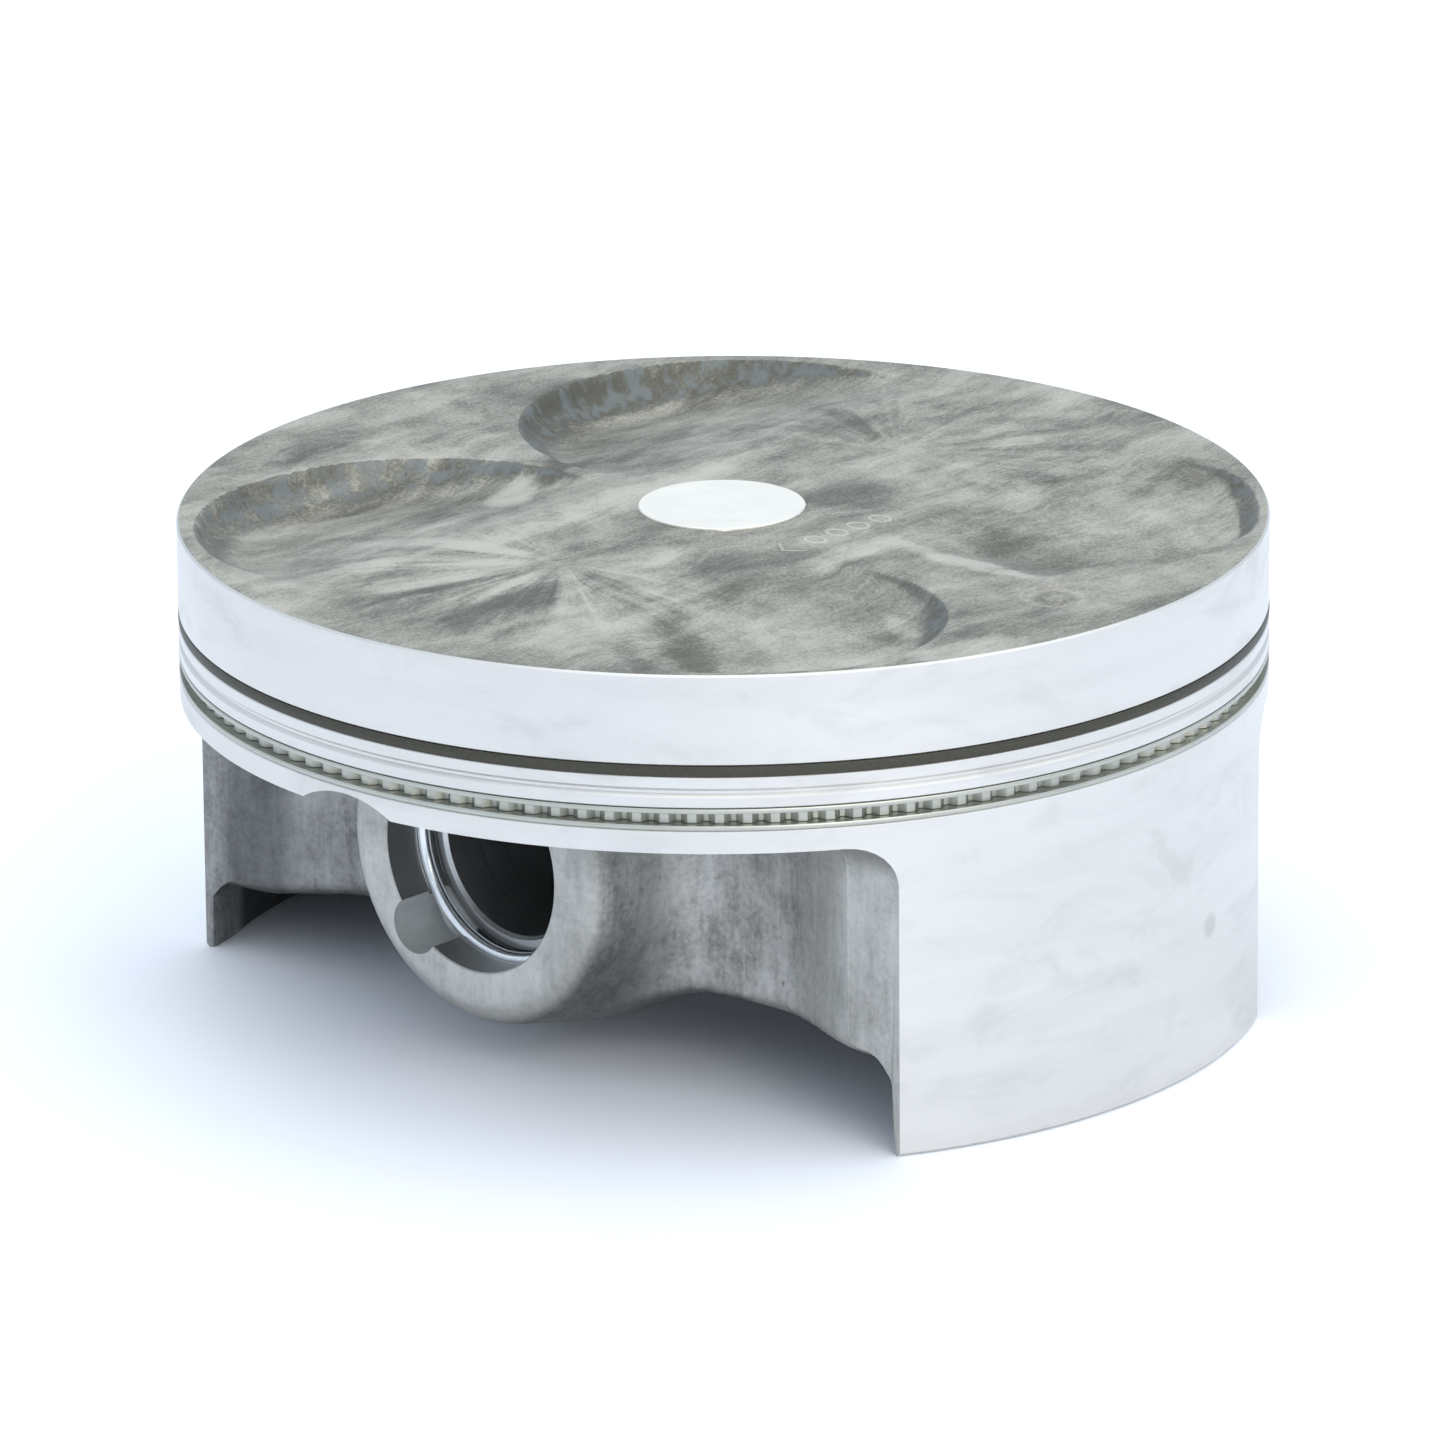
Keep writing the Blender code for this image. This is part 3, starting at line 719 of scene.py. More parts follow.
def forged_crown():
    """Greenish grey streaked by the flow of the metal, with painted shade on the steep pocket walls, and a
    small stamp.
    """
    f = Finish("forged_crown")
    warp = f.noise(f.place, 0.09, 3.0, output=1)
    bent = f.node("ShaderNodeVectorMath", {"operation": "MULTIPLY_ADD"}, [warp, (5.5, 5.5, 0.0), f.place])
    bx, by, _ = f.split(bent)
    cloud = f.noise(f.join(bx * 0.055, by * 0.085, 0.0), 1.0, 3.0, 0.5)
    smear = f.noise(f.join(bx * 0.10, by * 0.42, 4.0), 1.0, 4.0, 0.55)
    mottle = f.noise(bent, 0.34, 4.0, 0.6)
    grain = f.noise(f.place, 3.2, 5.0, 0.75)
    drag = f.noise(f.join(bx * 0.28, by * 1.9, 9.0), 1.0, 4.0, 0.65)
    light = (cloud - 0.5) * 1.2 + (smear - 0.5) * 0.55 + (mottle - 0.5) * 0.5
    light = light + (grain - 0.5) * 0.95 + (drag - 0.5) * 0.4
    for hub_x, turn, direction, force in FLOW_HUBS:
        dx = (f.x - hub_x) * direction
        away = (dx * dx + f.y * f.y + 1.0) ** 0.5
        ray = f.join(dx / away * 3.2, f.y / away * 3.2, away * 0.03 + turn)
        fan = f.noise(ray, 1.0, 6.0, 0.66, 0.3)
        fade = away.step(27.0, 12.0) * away.step(1.0, 6.0) * dx.step(-9.0, 4.0)
        light = light + (fan - 0.49) * fade * force
    for x, y, length, width, turn, lightness in SMEARS:
        c, s = math.cos(math.radians(turn)), math.sin(math.radians(turn))
        dx = bx - (x + SMEAR_SHIFT)
        dy = by - (y + SMEAR_SHIFT)
        along = dx * (c / length) + dy * (s / length)
        across = dy * (c / width) - dx * (s / width)
        near = (along * along + across * across).step(1.6, 0.0)
        light = light + near * lightness * (mottle + smear * 1.1)
    normal_z = f.split(f.node("ShaderNodeNewGeometry", output="Normal"))[2]
    wall = normal_z.step(0.985, 0.86)
    bands = f.noise(f.join(f.x * 0.7, f.y * 0.7, f.z * 0.1), 1.0, 3.0)
    ring_y = f.y - EJECTOR_Y
    ejector = ((f.x * f.x + ring_y * ring_y) ** 0.5 - 2.6).absolute().step(0.9, 0.2)
    light = light + ejector * 0.16
    stamp_y = f.y - STAMP_Y
    arrow = (f.x + stamp_y.absolute() * 0.8 - 5.6).absolute().step(0.34, 0.14)
    stamp = arrow * stamp_y.absolute().step(1.8, 1.6)
    for dot in STAMP_DOTS:
        dot_x = (f.x - dot) * 1.25
        rim = ((dot_x * dot_x + stamp_y * stamp_y) ** 0.5 - 1.0).absolute().step(0.34, 0.14)
        stamp = stamp + rim
    light = light + stamp * 0.24
    # Painted shade: the steep walls of the pockets, found by their normals, are darkened.
    light = light - wall * (0.34 + (bands - 0.48) * 0.8)
    tone = (light + 0.47).step(0.0, 1.0)
    colour = f.mix(tone, (0.118, 0.114, 0.092), (0.55, 0.53, 0.45))
    cool = wall * bands.step(0.42, 0.62)
    colour = f.mix(cool * 0.5, colour, (0.23, 0.26, 0.27))
    olive = wall * f.noise(bent, 0.13, 3.0).step(0.56, 0.68)
    colour = f.mix(olive * 0.3, colour, (0.11, 0.108, 0.085))
    specks = f.noise(f.place, 1.3, 3.0, 0.7).step(0.69, 0.76)
    specks = specks * f.noise(f.place, 0.05, 1.0).step(0.45, 0.65)
    colour = f.mix(specks * 0.55, colour, (0.06, 0.06, 0.05))
    relief = f.bump(mottle * 0.5 + grain * 0.5 + smear * 0.4 + stamp * 3.0, 0.6, 0.00014)
    roughness = 0.60 - tone * 0.14
    return f.set(Base_Color=colour, Metallic=0.7, Roughness=roughness, Normal=relief)


# %% Forged flanks
def forged_side():
    """Grey drawn downwards by the die, with painted shade inside, on the far flank and on faces that look
    down, and painted light on the boss ends and the +Y side.
    """
    f = Finish("forged_side")
    drag = f.noise(f.join(f.x * 0.75, f.y * 0.75, f.z * 0.10), 1.0, 6.0, 0.62, 0.4)
    cloud = f.noise(f.place, 0.14, 5.0, 0.62, 0.4)
    grain = f.noise(f.place, 1.7, 5.0, 0.7)
    pits = f.noise(f.place, 0.95, 2.0).step(0.70, 0.78)
    pits = pits * f.noise(f.place, 0.12, 1.0).step(0.45, 0.6)
    light = (drag - 0.5) * 0.75 + (cloud - 0.5) * 1.1 + (grain - 0.5) * 0.75 + 0.58
    tone = light.step(0.0, 1.0)
    colour = f.mix(tone, (0.13, 0.13, 0.12), (0.56, 0.555, 0.53))
    colour = f.mix(pits * 0.6, colour, (0.07, 0.07, 0.065))
    # Painted shade: faces inside the struts are darkened nearly to black.
    inside_shade = f.x.absolute().step(19.6, 17.2)
    colour = f.mix(inside_shade * 0.88, colour, (0.03, 0.031, 0.03))
    # Painted shade: the flank on the -Y side, which the boss hides from the side lamp, is darkened, most
    # of all in a band near the skirt end (the corner mask).
    far_flank_shade = f.y.step(-15.0, -22.0) * f.x.step(10.0, 14.0)
    corner = (f.y + 35.5).absolute().step(5.5, 1.5) * far_flank_shade
    colour = f.mix(far_flank_shade * 0.35 + corner * 0.4, colour, (0.06, 0.066, 0.066))
    # Painted shade: faces that look downwards are darkened.
    normal_z = f.split(f.node("ShaderNodeNewGeometry", output="Normal"))[2]
    colour = f.mix(normal_z.step(0.0, -0.7) * 0.7, colour, (0.06, 0.06, 0.055))
    # Painted light: the outer ends of the bosses and the +Y side, towards the side lamp, are lightened.
    wear_and_painted_light = f.x.absolute().step(31.0, 32.3) * 0.45 + f.y.step(24.0, 34.0) * 0.35
    colour = f.mix(wear_and_painted_light, colour, (0.56, 0.555, 0.52))
    relief = f.bump(drag * 0.5 + grain * 0.5 - pits * 0.6, 0.5, 0.00016)
    return f.set(Base_Color=colour, Metallic=0.7, Roughness=0.56 - tone * 0.12, Normal=relief)


# %% Turned and bored finishes
DENT = (-11.4, 13.0)


def turned_finish():
    """Bright satin with turning rings, faint handling marks and one small dent."""
    f = Finish("turned_aluminium")
    around = f.join(f.x * 0.05, f.y * 0.05, f.z * 12.0)
    lines = f.noise(around, 1.0, 4.0, 0.7)
    broad = f.noise(f.join(f.x * 0.04, f.y * 0.04, f.z * 0.30), 1.0, 3.0)
    handling = f.noise(f.join(f.x * 0.09, f.y * 0.09, f.z * 0.2), 1.0, 6.0, 0.62, 0.8)
    marks = handling.step(0.48, 0.72)
    colour = f.mix(broad, (0.56, 0.548, 0.525), (0.70, 0.688, 0.66))
    colour = f.mix(lines * 0.4, colour, (0.79, 0.778, 0.75))
    colour = f.mix(marks * 0.2, colour, (0.39, 0.395, 0.39))
    dx = f.x - DENT[0]
    dz = f.z - DENT[1]
    dent = (dx * dx + dz * dz).step(2.0, 0.1) * f.y.step(40.0, 41.0)
    colour = f.mix(dent * 0.35, colour, (0.30, 0.30, 0.28))
    relief = f.bump(lines * 0.7 - dent * 2.0, 0.14, 0.00003)
    roughness = 0.33 + marks * 0.10 + lines * 0.06
    return f.set(Base_Color=colour, Metallic=0.9, Roughness=roughness, Normal=relief)


def bored_finish():
    f = Finish("bored_aluminium")
    lines = f.noise(f.join(f.x * 9.0, f.y * 0.1, f.z * 0.1), 1.0, 3.0, 0.6)
    cloud = f.noise(f.place, 0.15, 4.0)
    colour = f.mix(lines * 0.5 + cloud * 0.5, (0.40, 0.415, 0.41), (0.62, 0.63, 0.62))
    relief = f.bump(lines, 0.12, 0.00003)
    return f.set(Base_Color=colour, Metallic=0.9, Roughness=0.32 + lines * 0.08, Normal=relief)


def milled_finish():
    f = Finish("milled_aluminium")
    swirl = f.noise(f.place, 1.1, 4.0, 0.6)
    colour = f.mix(swirl, (0.50, 0.515, 0.51), (0.68, 0.69, 0.68))
    return f.set(Base_Color=colour, Metallic=0.55, Roughness=0.48 + swirl * 0.08)


def pad_finish():
    """The turned disc in the middle of the crown: nearly white, with faint stains."""
    f = Finish("faced_disc")
    dx = f.x - PAD["x"]
    dy = f.y - PAD["y"]
    rings = f.noise(f.join((dx * dx + dy * dy) ** 0.5 * 6.0, 0.0, 0.0), 1.0, 3.0)
    stain = f.noise(f.place, 0.35, 5.0, 0.6)
    colour = f.mix(stain * 0.7 + rings * 0.3, (0.72, 0.70, 0.63), (0.92, 0.895, 0.82))
    return f.set(Base_Color=colour, Metallic=0.7, Roughness=0.45 + rings * 0.1)


# %% [markdown]
# ## Giving each face the finish of its process
#
# After the cuts it is plain from a face's place which tool made it: the lathe leaves faces at
# the full radius or inside the grooves, and the borer leaves faces close round the pin axis.

# %% Sort the piston's faces by process
def tied_piece(name, mesh, body, nodes):
    """A finished piece: scaled to metres, named, and tied to its CAD body."""
    mesh.name = name
    mesh.transform(Matrix.Scale(MM, 4))
    piece = linked(name, mesh)
    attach(piece, body)
    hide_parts(*nodes)
    print(name, "has", triangles(mesh), "triangles")


def piece_from(name, mesh, body, nodes, finishes):
    """A small piece with its finishes, smooth where its faces meet at less than 32 degrees."""
    mesh.materials.clear()
    for finish in finishes:
        mesh.materials.append(finish)
    mesh.shade_smooth()
    mesh.set_sharp_from_angle(angle=SHARP_ANGLE)
    tied_piece(name, mesh, body, nodes)


def face_arrays(mesh):
    """The centre and the normal of every face, as arrays."""
    count = len(mesh.polygons)
    centre = np.empty(count * 3, np.float32)
    mesh.polygons.foreach_get("center", centre)
    normal = np.empty(count * 3, np.float32)
    mesh.polygons.foreach_get("normal", normal)
    return centre.reshape(-1, 3), normal.reshape(-1, 3)


CROWN_FACE, FORGED_FACE, TURNED_FACE, BORED_FACE, PAD_FACE, MILLED_FACE = range(6)


def sort_faces(mesh):
    centre, normal = face_arrays(mesh)
    radius = np.hypot(centre[:, 0], centre[:, 1])
    height = centre[:, 2]
    kind = np.full(len(centre), FORGED_FACE, np.int32)
    kind[(height > CROWN - 5.0) & (normal[:, 2] > 0.02)] = CROWN_FACE
    belt = (height > OIL_GROOVE[0] - 0.01) & (height < TOP_GROOVE[1] + 0.01)
    groove = belt & (radius > RADIUS - TOP_GROOVE_DEPTH - 0.02)
    kind[((radius > RADIUS - 0.42) & (normal[:, 2] < 0.9)) | groove] = TURNED_FACE
    kind[height < 0.01] = TURNED_FACE
    pad = np.hypot(centre[:, 0] - PAD["x"], centre[:, 1] - PAD["y"]) < PAD["radius"] + 0.02
    kind[pad & (height > CROWN - 0.02)] = PAD_FACE
    from_pin = np.hypot(centre[:, 1], height - PIN_Z)
    inside_boss = np.abs(centre[:, 0]) < BOSS_FACES[1] - 0.1
    kind[(from_pin < CLIP_GROOVE_RADIUS + 0.02) & inside_boss] = BORED_FACE
    from_notch = np.hypot(centre[:, 1] - NOTCH_Y, height - PIN_Z - NOTCH_RISE)
    beyond_groove = np.abs(centre[:, 0]) > CLIP_GROOVE[0] - 1.2
    off_face = np.abs(normal[:, 0]) < 0.999
    kind[(from_notch < NOTCH_RADIUS + 0.02) & beyond_groove & off_face] = MILLED_FACE
    mesh.polygons.foreach_set("material_index", kind)


def true_normals(mesh):
    """Gives the turned and bored faces the normals of the true cylinders they lie on."""
    centre, normal = face_arrays(mesh)
    radial = centre * (1.0, 1.0, 0.0)
    reach = np.linalg.norm(radial, axis=1)
    radial /= np.maximum(reach, 1e-6)[:, None]
    on_lathe = (np.abs(reach - RADIUS) < 0.03) & (np.abs(normal[:, 2]) < 0.1)
    from_pin = centre - (0.0, 0.0, PIN_Z)
    from_pin[:, 0] = 0.0
    bore_reach = np.linalg.norm(from_pin, axis=1)
    in_bore = (np.abs(bore_reach - BORE_RADIUS) < 0.03) & (np.abs(normal[:, 0]) < 0.1)
    totals = np.empty(len(centre), np.int32)
    mesh.polygons.foreach_get("loop_total", totals)
    owner = np.repeat(np.arange(len(centre)), totals)
    corners = np.empty(len(mesh.loops), np.int32)
    mesh.loops.foreach_get("vertex_index", corners)
    places = np.empty(len(mesh.vertices) * 3, np.float32)
    mesh.vertices.foreach_get("co", places)
    places = places.reshape(-1, 3)[corners]
    wanted = np.zeros_like(places)
    lathe = on_lathe[owner]
    wanted[lathe] = places[lathe] * (1.0, 1.0, 0.0)
    bore = in_bore[owner]
    wanted[bore] = -(places[bore] - (0.0, 0.0, PIN_Z)) * (0.0, 1.0, 1.0)
    length = np.linalg.norm(wanted, axis=1)
    wanted[length > 0] /= length[length > 0][:, None]
    mesh.normals_split_custom_set(wanted.tolist())


body_mesh.materials.clear()
BODY_FINISHES = (forged_crown, forged_side, turned_finish, bored_finish, pad_finish, milled_finish)
for make_finish in BODY_FINISHES:
    finish = make_finish()
    body_mesh.materials.append(finish)
sort_faces(body_mesh)
body_mesh.shade_smooth()
body_mesh.set_sharp_from_angle(angle=SHARP_ANGLE)
true_normals(body_mesh)
tied_piece("piston", body_mesh, "piston", ["piston_body"])

# %% [markdown]
# ## Rings
#
# The top ring is cast iron with a barrel-shaped face and a dark phosphate skin. The oil ring
# is three pieces: two thin steel rails, and between them a crimped strip that pushes the rails
# out and apart. Each is cut through once, so that it can be sprung over the lands.

# %% Ring finishes and the plain rings
def dark_iron():
    f = Finish("phosphated_iron")
    crystal = f.noise(f.place, 2.2, 5.0, 0.65)
    wear_and_painted_light = f.noise(f.join(f.x * 0.06, f.y * 0.06, f.z * 5.0), 1.0, 3.0)
    colour = f.mix(crystal * 0.6 + wear_and_painted_light * 0.4, (0.022, 0.021, 0.014), (0.095, 0.092, 0.07))
    relief = f.bump(crystal, 0.3, 0.00004)
    return f.set(Base_Color=colour, Metallic=0.6, Roughness=0.42 + crystal * 0.15, Normal=relief)


def rail_steel(name):
    f = Finish(name)
    lines = f.noise(f.join(f.x * 0.05, f.y * 0.05, f.z * 16.0), 1.0, 3.0)
    stain = f.noise(f.place, 0.2, 4.0)
    colour = f.mix(lines * 0.4 + stain * 0.6, (0.36, 0.365, 0.32), (0.60, 0.605, 0.55))
    return f.set(Base_Color=colour, Metallic=0.9, Roughness=0.34 + lines * 0.12)


RING_GAP = 0.35


def ring_mesh(name, width, low, high, gap_angle, barrel):
    """A split ring whose face bulges by the barrel height between its edges."""
    middle = (low + high) / 2
    half = (high - low) / 2
    face = []
    for i in range(7):
        t = -1 + 2 * i / 6
        face.append((RING_RADIUS - barrel * t * t, middle + half * t * 0.94))
    inner = RING_RADIUS - width
    corner = RING_RADIUS - barrel - half * 0.06
    back = [(inner + 0.08, high), (inner, high - 0.08), (inner, low + 0.08), (inner + 0.08, low)]
    profile = face + [(corner, high)] + back + [(corner, low)]
    gap = RING_GAP / RING_RADIUS
    share = 1.0 - gap / (2 * math.pi)
    return turned(name, profile, 360, share, math.radians(gap_angle) + gap / 2)


low, high = node_box("compression_ring")
top_ring = ring_mesh("top_ring", 3.0, low[2], high[2], 205.0, 0.05)
piece_from("top_ring", top_ring, "compression_ring", ["compression_ring"], [dark_iron()])
for node, angle in (("oil_rail_lower", 250.0), ("oil_rail_upper", 290.0)):
    low, high = node_box(node)
    rail = ring_mesh(node, 2.3, low[2], high[2], angle, 0.06)
    steel = rail_steel(node + "_steel")
    piece_from(node.replace("oil_rail", "rail"), rail, node, [node], [steel])

# %% [markdown]
# ### The crimped expander
#
# The ribbon between the rails is the same small wave over a hundred times, which is what
# Geometry Nodes are for. A row of points is bent into a circle, each point is pushed in or
# out by a wave of its own number, and a ribbon standing on edge is swept along the result.

# %% Expander by Geometry Nodes
class Graph:
    """A Geometry Nodes tree under construction."""

    def __init__(self, name):
        self.tree = bpy.data.node_groups.new(name, "GeometryNodeTree")
        self.tree.interface.new_socket("Geometry", in_out="INPUT", socket_type="NodeSocketGeometry")
        self.tree.interface.new_socket("Geometry", in_out="OUTPUT", socket_type="NodeSocketGeometry")
        self.entry = self.tree.nodes.new("NodeGroupInput")
        self.exit = self.tree.nodes.new("NodeGroupOutput")

    def size(self, name, value, kind="NodeSocketFloat"):
        socket = self.tree.interface.new_socket(name, in_out="INPUT", socket_type=kind)
        socket.default_value = value
        return self.entry.outputs[name]

    def node(self, kind, settings=None, inputs=None, output=0):
        return add_node(self.tree, kind, settings, inputs).outputs[output]

    def maths(self, operation, *values):
        return self.node("ShaderNodeMath", {"operation": operation}, list(values))

    def finish(self, geometry, material):
        real = self.node("GeometryNodeRealizeInstances", None, [geometry])
        painted = self.node("GeometryNodeSetMaterial", None, {"Geometry": real, "Material": material})
        self.tree.links.new(painted, self.exit.inputs[0])


def grown_by(graph, name, values):
    """Runs a graph on an empty mesh with its named sizes set, and returns a plain mesh."""
    carrier = linked(name, bpy.data.meshes.new(name))
    modifier = carrier.modifiers.new("grow", "NODES")
    modifier.node_group = graph.tree
    for item in graph.tree.interface.items_tree:
        if item.item_type == "SOCKET" and item.in_out == "INPUT" and item.name in values:
            modifier[item.identifier] = values[item.name]
    return applied(carrier)


EXPANDER_WAVES = 126


def expander_graph(material):
    g = Graph("crimped_expander")
    radius = g.size("Radius", 46.5)
    waves = g.size("Waves", EXPANDER_WAVES, "NodeSocketInt")
    depth = g.size("Wave Depth", 0.7)
    thick = g.size("Ribbon Thickness", 0.25)
    tall = g.size("Ribbon Height", 0.96)
    gap = g.size("Gap Angle", 0.01)
    steps = g.maths("MULTIPLY", waves, 8)
    line = g.node("GeometryNodeMeshLine", {"mode": "OFFSET"}, {"Count": g.maths("ADD", steps, 1)})
    turn = g.maths("DIVIDE", g.node("GeometryNodeInputIndex"), steps)
    sweep = g.maths("SUBTRACT", 2 * math.pi, gap)
    angle = g.maths("ADD", g.maths("MULTIPLY", turn, sweep), g.maths("DIVIDE", gap, 2))
    wave = g.maths("SINE", g.maths("MULTIPLY", g.maths("MULTIPLY", turn, waves), 2 * math.pi))
    squared = g.maths("MAXIMUM", g.maths("MINIMUM", g.maths("MULTIPLY", wave, 1.4), 1.0), -1.0)
    reach = g.maths("ADD", radius, g.maths("MULTIPLY", squared, depth))
    x = g.maths("MULTIPLY", g.maths("COSINE", angle), reach)
    y = g.maths("MULTIPLY", g.maths("SINE", angle), reach)
    place = g.node("ShaderNodeCombineXYZ", None, [x, y, 0.0])
    moved = g.node("GeometryNodeSetPosition", None, {"Geometry": line, "Position": place})
    path = g.node("GeometryNodeMeshToCurve", None, [moved])
    path = g.node("GeometryNodeSetCurveNormal", {"mode": "Z_UP"}, [path])
    section = g.node("GeometryNodeCurvePrimitiveQuadrilateral", None, {"Width": thick, "Height": tall})
    parts = {"Curve": path, "Profile Curve": section, "Fill Caps": True}
    ribbon = g.node("GeometryNodeCurveToMesh", None, parts)
    g.finish(ribbon, material)
    return g


ribbon_steel = rail_steel("expander_steel")
low, high = node_box("oil_ring_expander")
RIBBON_THICKNESS = 0.4
RIBBON_WIDTH = 1.1
expander = grown_by(
    expander_graph(ribbon_steel),
    "expander",
    {
        "Radius": high[0] - RIBBON_WIDTH / 2,
        "Waves": EXPANDER_WAVES,
        "Wave Depth": (RIBBON_WIDTH - RIBBON_THICKNESS) / 2 - 0.02,
        "Ribbon Thickness": RIBBON_THICKNESS,
        "Ribbon Height": high[2] - low[2] - 0.02,
        "Gap Angle": 0.5 / high[0],
    },
)
expander.transform(Matrix.Rotation(math.radians(230.0), 4, "Z"))
expander.transform(Matrix.Translation((0.0, 0.0, (low[2] + high[2]) / 2)))
outwards(expander)
node = "oil_ring_expander"
piece_from("oil_expander", expander, node, [node], [ribbon_steel])

# %% [markdown]
# ## Wrist pin and circlips
#
# The wrist pin is a hollow steel tube, ground outside and reamed inside. Its bore flares
# towards both ends, where the load is least. Two bent wires keep it from wandering.

# %% Wrist pin
def ground_steel():
    f = Finish("ground_steel")
    lines = f.noise(f.join(f.x * 8.0, f.y * 0.1, f.z * 0.1), 1.0, 3.0)
    cloud = f.noise(f.place, 0.25, 4.0)
    colour = f.mix(lines * 0.4 + cloud * 0.6, (0.40, 0.405, 0.40), (0.60, 0.605, 0.60))
    return f.set(Base_Color=colour, Metallic=1.0, Roughness=0.24 + lines * 0.10)


def arc_points(centre, radius, start, end, count):
    """Points of an arc in (radius, height), angles in degrees."""
    angles = np.radians(np.linspace(start, end, count + 1))
    return [(centre[0] + radius * math.cos(a), centre[1] + radius * math.sin(a)) for a in angles]


def pin_mesh():
    end_bore = PIN_RADIUS - 1.8
    middle_bore = PIN_RADIUS - 4.0
    taper = PIN_HALF - 13.0
    edge = 0.7
    lip = 0.3
    top = [
        (end_bore, PIN_HALF - lip),
        (end_bore + lip, PIN_HALF),
        *arc_points((PIN_RADIUS - edge, PIN_HALF - edge), edge, 90, 0, 5),
    ]
    bottom = [(r, -z) for r, z in top[::-1]]
    profile = top + bottom + [(middle_bore, -taper), (middle_bore, taper)]
    return along_x(turned("wrist_pin", profile, 144), 1)


piece_from("wrist_pin_tube", pin_mesh(), "wrist_pin", ["wrist_pin"], [ground_steel()])

# %% Circlips
def spring_wire(name):
    f = Finish(name)
    draw = f.noise(f.place, 1.6, 3.0)
    colour = f.mix(draw, (0.62, 0.64, 0.66), (0.86, 0.88, 0.90))
    return f.set(Base_Color=colour, Metallic=1.0, Roughness=0.18 + draw * 0.12)


def circlip_mesh(side):
    """A round wire bent to an open ring, with rounded ends."""
    wire = CLIP_WIRE / 2
    radius = CLIP_GROOVE_RADIUS - CLIP_CLEARANCE - wire
    gap = math.radians(40.0)
    sides = 16
    turns = np.linspace(gap / 2, 2 * math.pi - gap / 2, 121)
    stations = [(gap / 2 - 0.030, 0.45), (gap / 2 - 0.018, 0.80)]
    stations += [(turn, 1.0) for turn in turns]
    stations += [(2 * math.pi - gap / 2 + 0.018, 0.80), (2 * math.pi - gap / 2 + 0.030, 0.45)]
    points = []
    for turn, share in stations:
        angle = math.pi / 2 + turn
        for j in range(sides):
            around = 2 * math.pi * j / sides
            reach = radius + share * wire * math.cos(around)
            along = CLIP_MIDDLE + share * wire * math.sin(around)
            points.append((side * along, reach * math.cos(angle), PIN_Z + reach * math.sin(angle)))
    faces = []
    for i in range(len(stations) - 1):
        for j in range(sides):
            k = (j + 1) % sides
            faces.append((i * sides + j, (i + 1) * sides + j, (i + 1) * sides + k, i * sides + k))
    faces.append(tuple(range(sides)))
    faces.append(tuple(range((len(stations) - 1) * sides, len(stations) * sides))[::-1])
    return outwards(mesh_from("circlip", points, faces))


for node, side in (("circlip_right", 1), ("circlip_left", -1)):
    clip = circlip_mesh(side)
    wire = spring_wire(node + "_wire")
    piece_from(node.replace("circlip", "wire_clip"), clip, "piston", [node], [wire])

# %% [markdown]
# ## Studio
#
# A pale floor, a bright even room, one wide lamp overhead and a smaller one in front, to the
# right. The room is a touch bluer than the lamps, which is what makes a shadow on a white
# table look cool.

# %% Floor, room and lights
def build_floor():
    mesh = mesh_from("floor", [(-4, -4, 0), (4, -4, 0), (4, 4, 0), (-4, 4, 0)], [(0, 1, 2, 3)])
    floor = linked("floor", mesh)
    f = Finish("white_table")
    tint = f.noise(f.place, 0.004, 2.0)
    f.set(Base_Color=f.mix(tint, (0.90, 0.92, 0.97), (0.91, 0.93, 0.975)), Roughness=0.6, Metallic=0.0)
    mesh.materials.append(f.material)


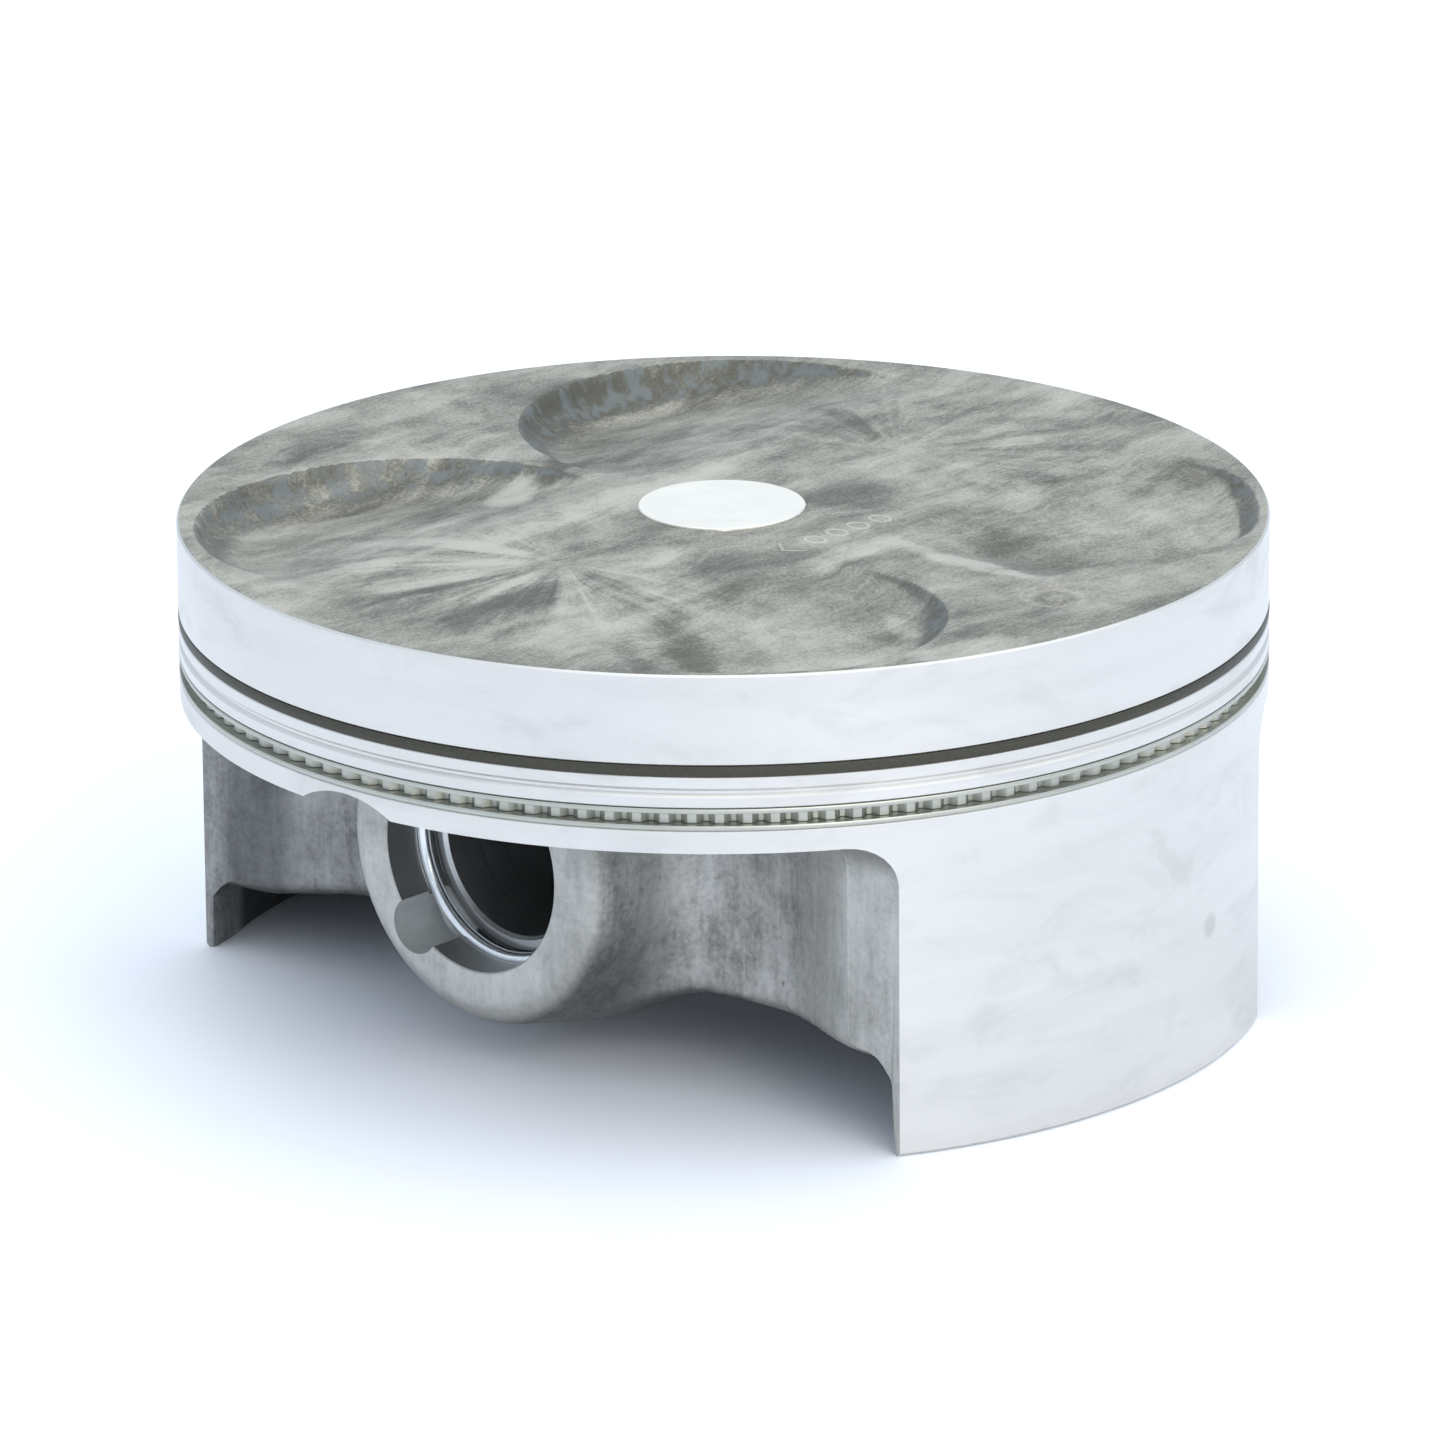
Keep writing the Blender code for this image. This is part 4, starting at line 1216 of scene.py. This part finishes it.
def build_room(horizon, zenith):
    """A room that is brighter overhead than at the sides."""
    world = bpy.data.worlds.new("room")
    bpy.context.scene.world = world
    world.use_nodes = True
    tree = world.node_tree
    place = add_node(tree, "ShaderNodeTexCoord", None, None).outputs["Generated"]
    height = add_node(tree, "ShaderNodeSeparateXYZ", None, [place]).outputs["Z"]
    settings = {"interpolation_type": "SMOOTHSTEP"}
    limits = [height, 0.0, 0.45, horizon, zenith]
    blend = add_node(tree, "ShaderNodeMapRange", settings, limits)
    background = tree.nodes["Background"]
    background.inputs["Color"].default_value = (*ROOM_COLOUR, 1.0)
    tree.links.new(blend.outputs[0], background.inputs["Strength"])


def soft_light(name, place, target, size, power, colour):
    lamp = bpy.data.lights.new(name, "AREA")
    lamp.shape = "DISK"
    lamp.size = size
    lamp.energy = power
    lamp.color = colour
    thing = linked(name, lamp)
    thing.location = place
    thing.rotation_euler = (Vector(target) - Vector(place)).to_track_quat("-Z", "Y").to_euler()


AIM = (0.0, 0.0, 0.023)
ROOM_COLOUR = (0.78, 0.875, 1.0)
LAMP_COLOUR = (1.0, 0.95, 0.86)
SIDE_COLOUR = (1.0, 0.95, 0.87)
build_floor()
build_room(0.92, 1.13)
soft_light("overhead", (-0.2, 0.3, 1.7), AIM, 2.8, 14.5, LAMP_COLOUR)
soft_light("side", (0.45, 1.15, 0.75), AIM, 1.0, 6.5, SIDE_COLOUR)

# %% [markdown]
# ## Camera
#
# A long lens from a metre away, a little above the crown.

# %% Camera
def build_camera(azimuth, elevation, distance, lens, roll, shift):
    camera = bpy.data.cameras.new("camera")
    camera.lens = lens
    camera.sensor_width = 36.0
    camera.shift_x, camera.shift_y = shift
    camera.clip_end = 20.0
    a, e = math.radians(azimuth), math.radians(elevation)
    towards = Vector((math.cos(e) * math.cos(a), math.cos(e) * math.sin(a), math.sin(e)))
    thing = linked("camera", camera)
    thing.location = Vector(AIM) + towards * distance
    look = (-towards).to_track_quat("-Z", "Y").to_matrix().to_4x4()
    turn = Matrix.Rotation(math.radians(roll), 4, "Z")
    thing.rotation_euler = (look @ turn).to_euler()
    bpy.context.scene.camera = thing


build_camera(
    azimuth=42.75,
    elevation=18.12,
    distance=1.054,
    lens=297.5,
    roll=-0.47,
    shift=(-0.00198, 0.00967),
)
bpy.context.scene.view_settings.view_transform = "Standard"
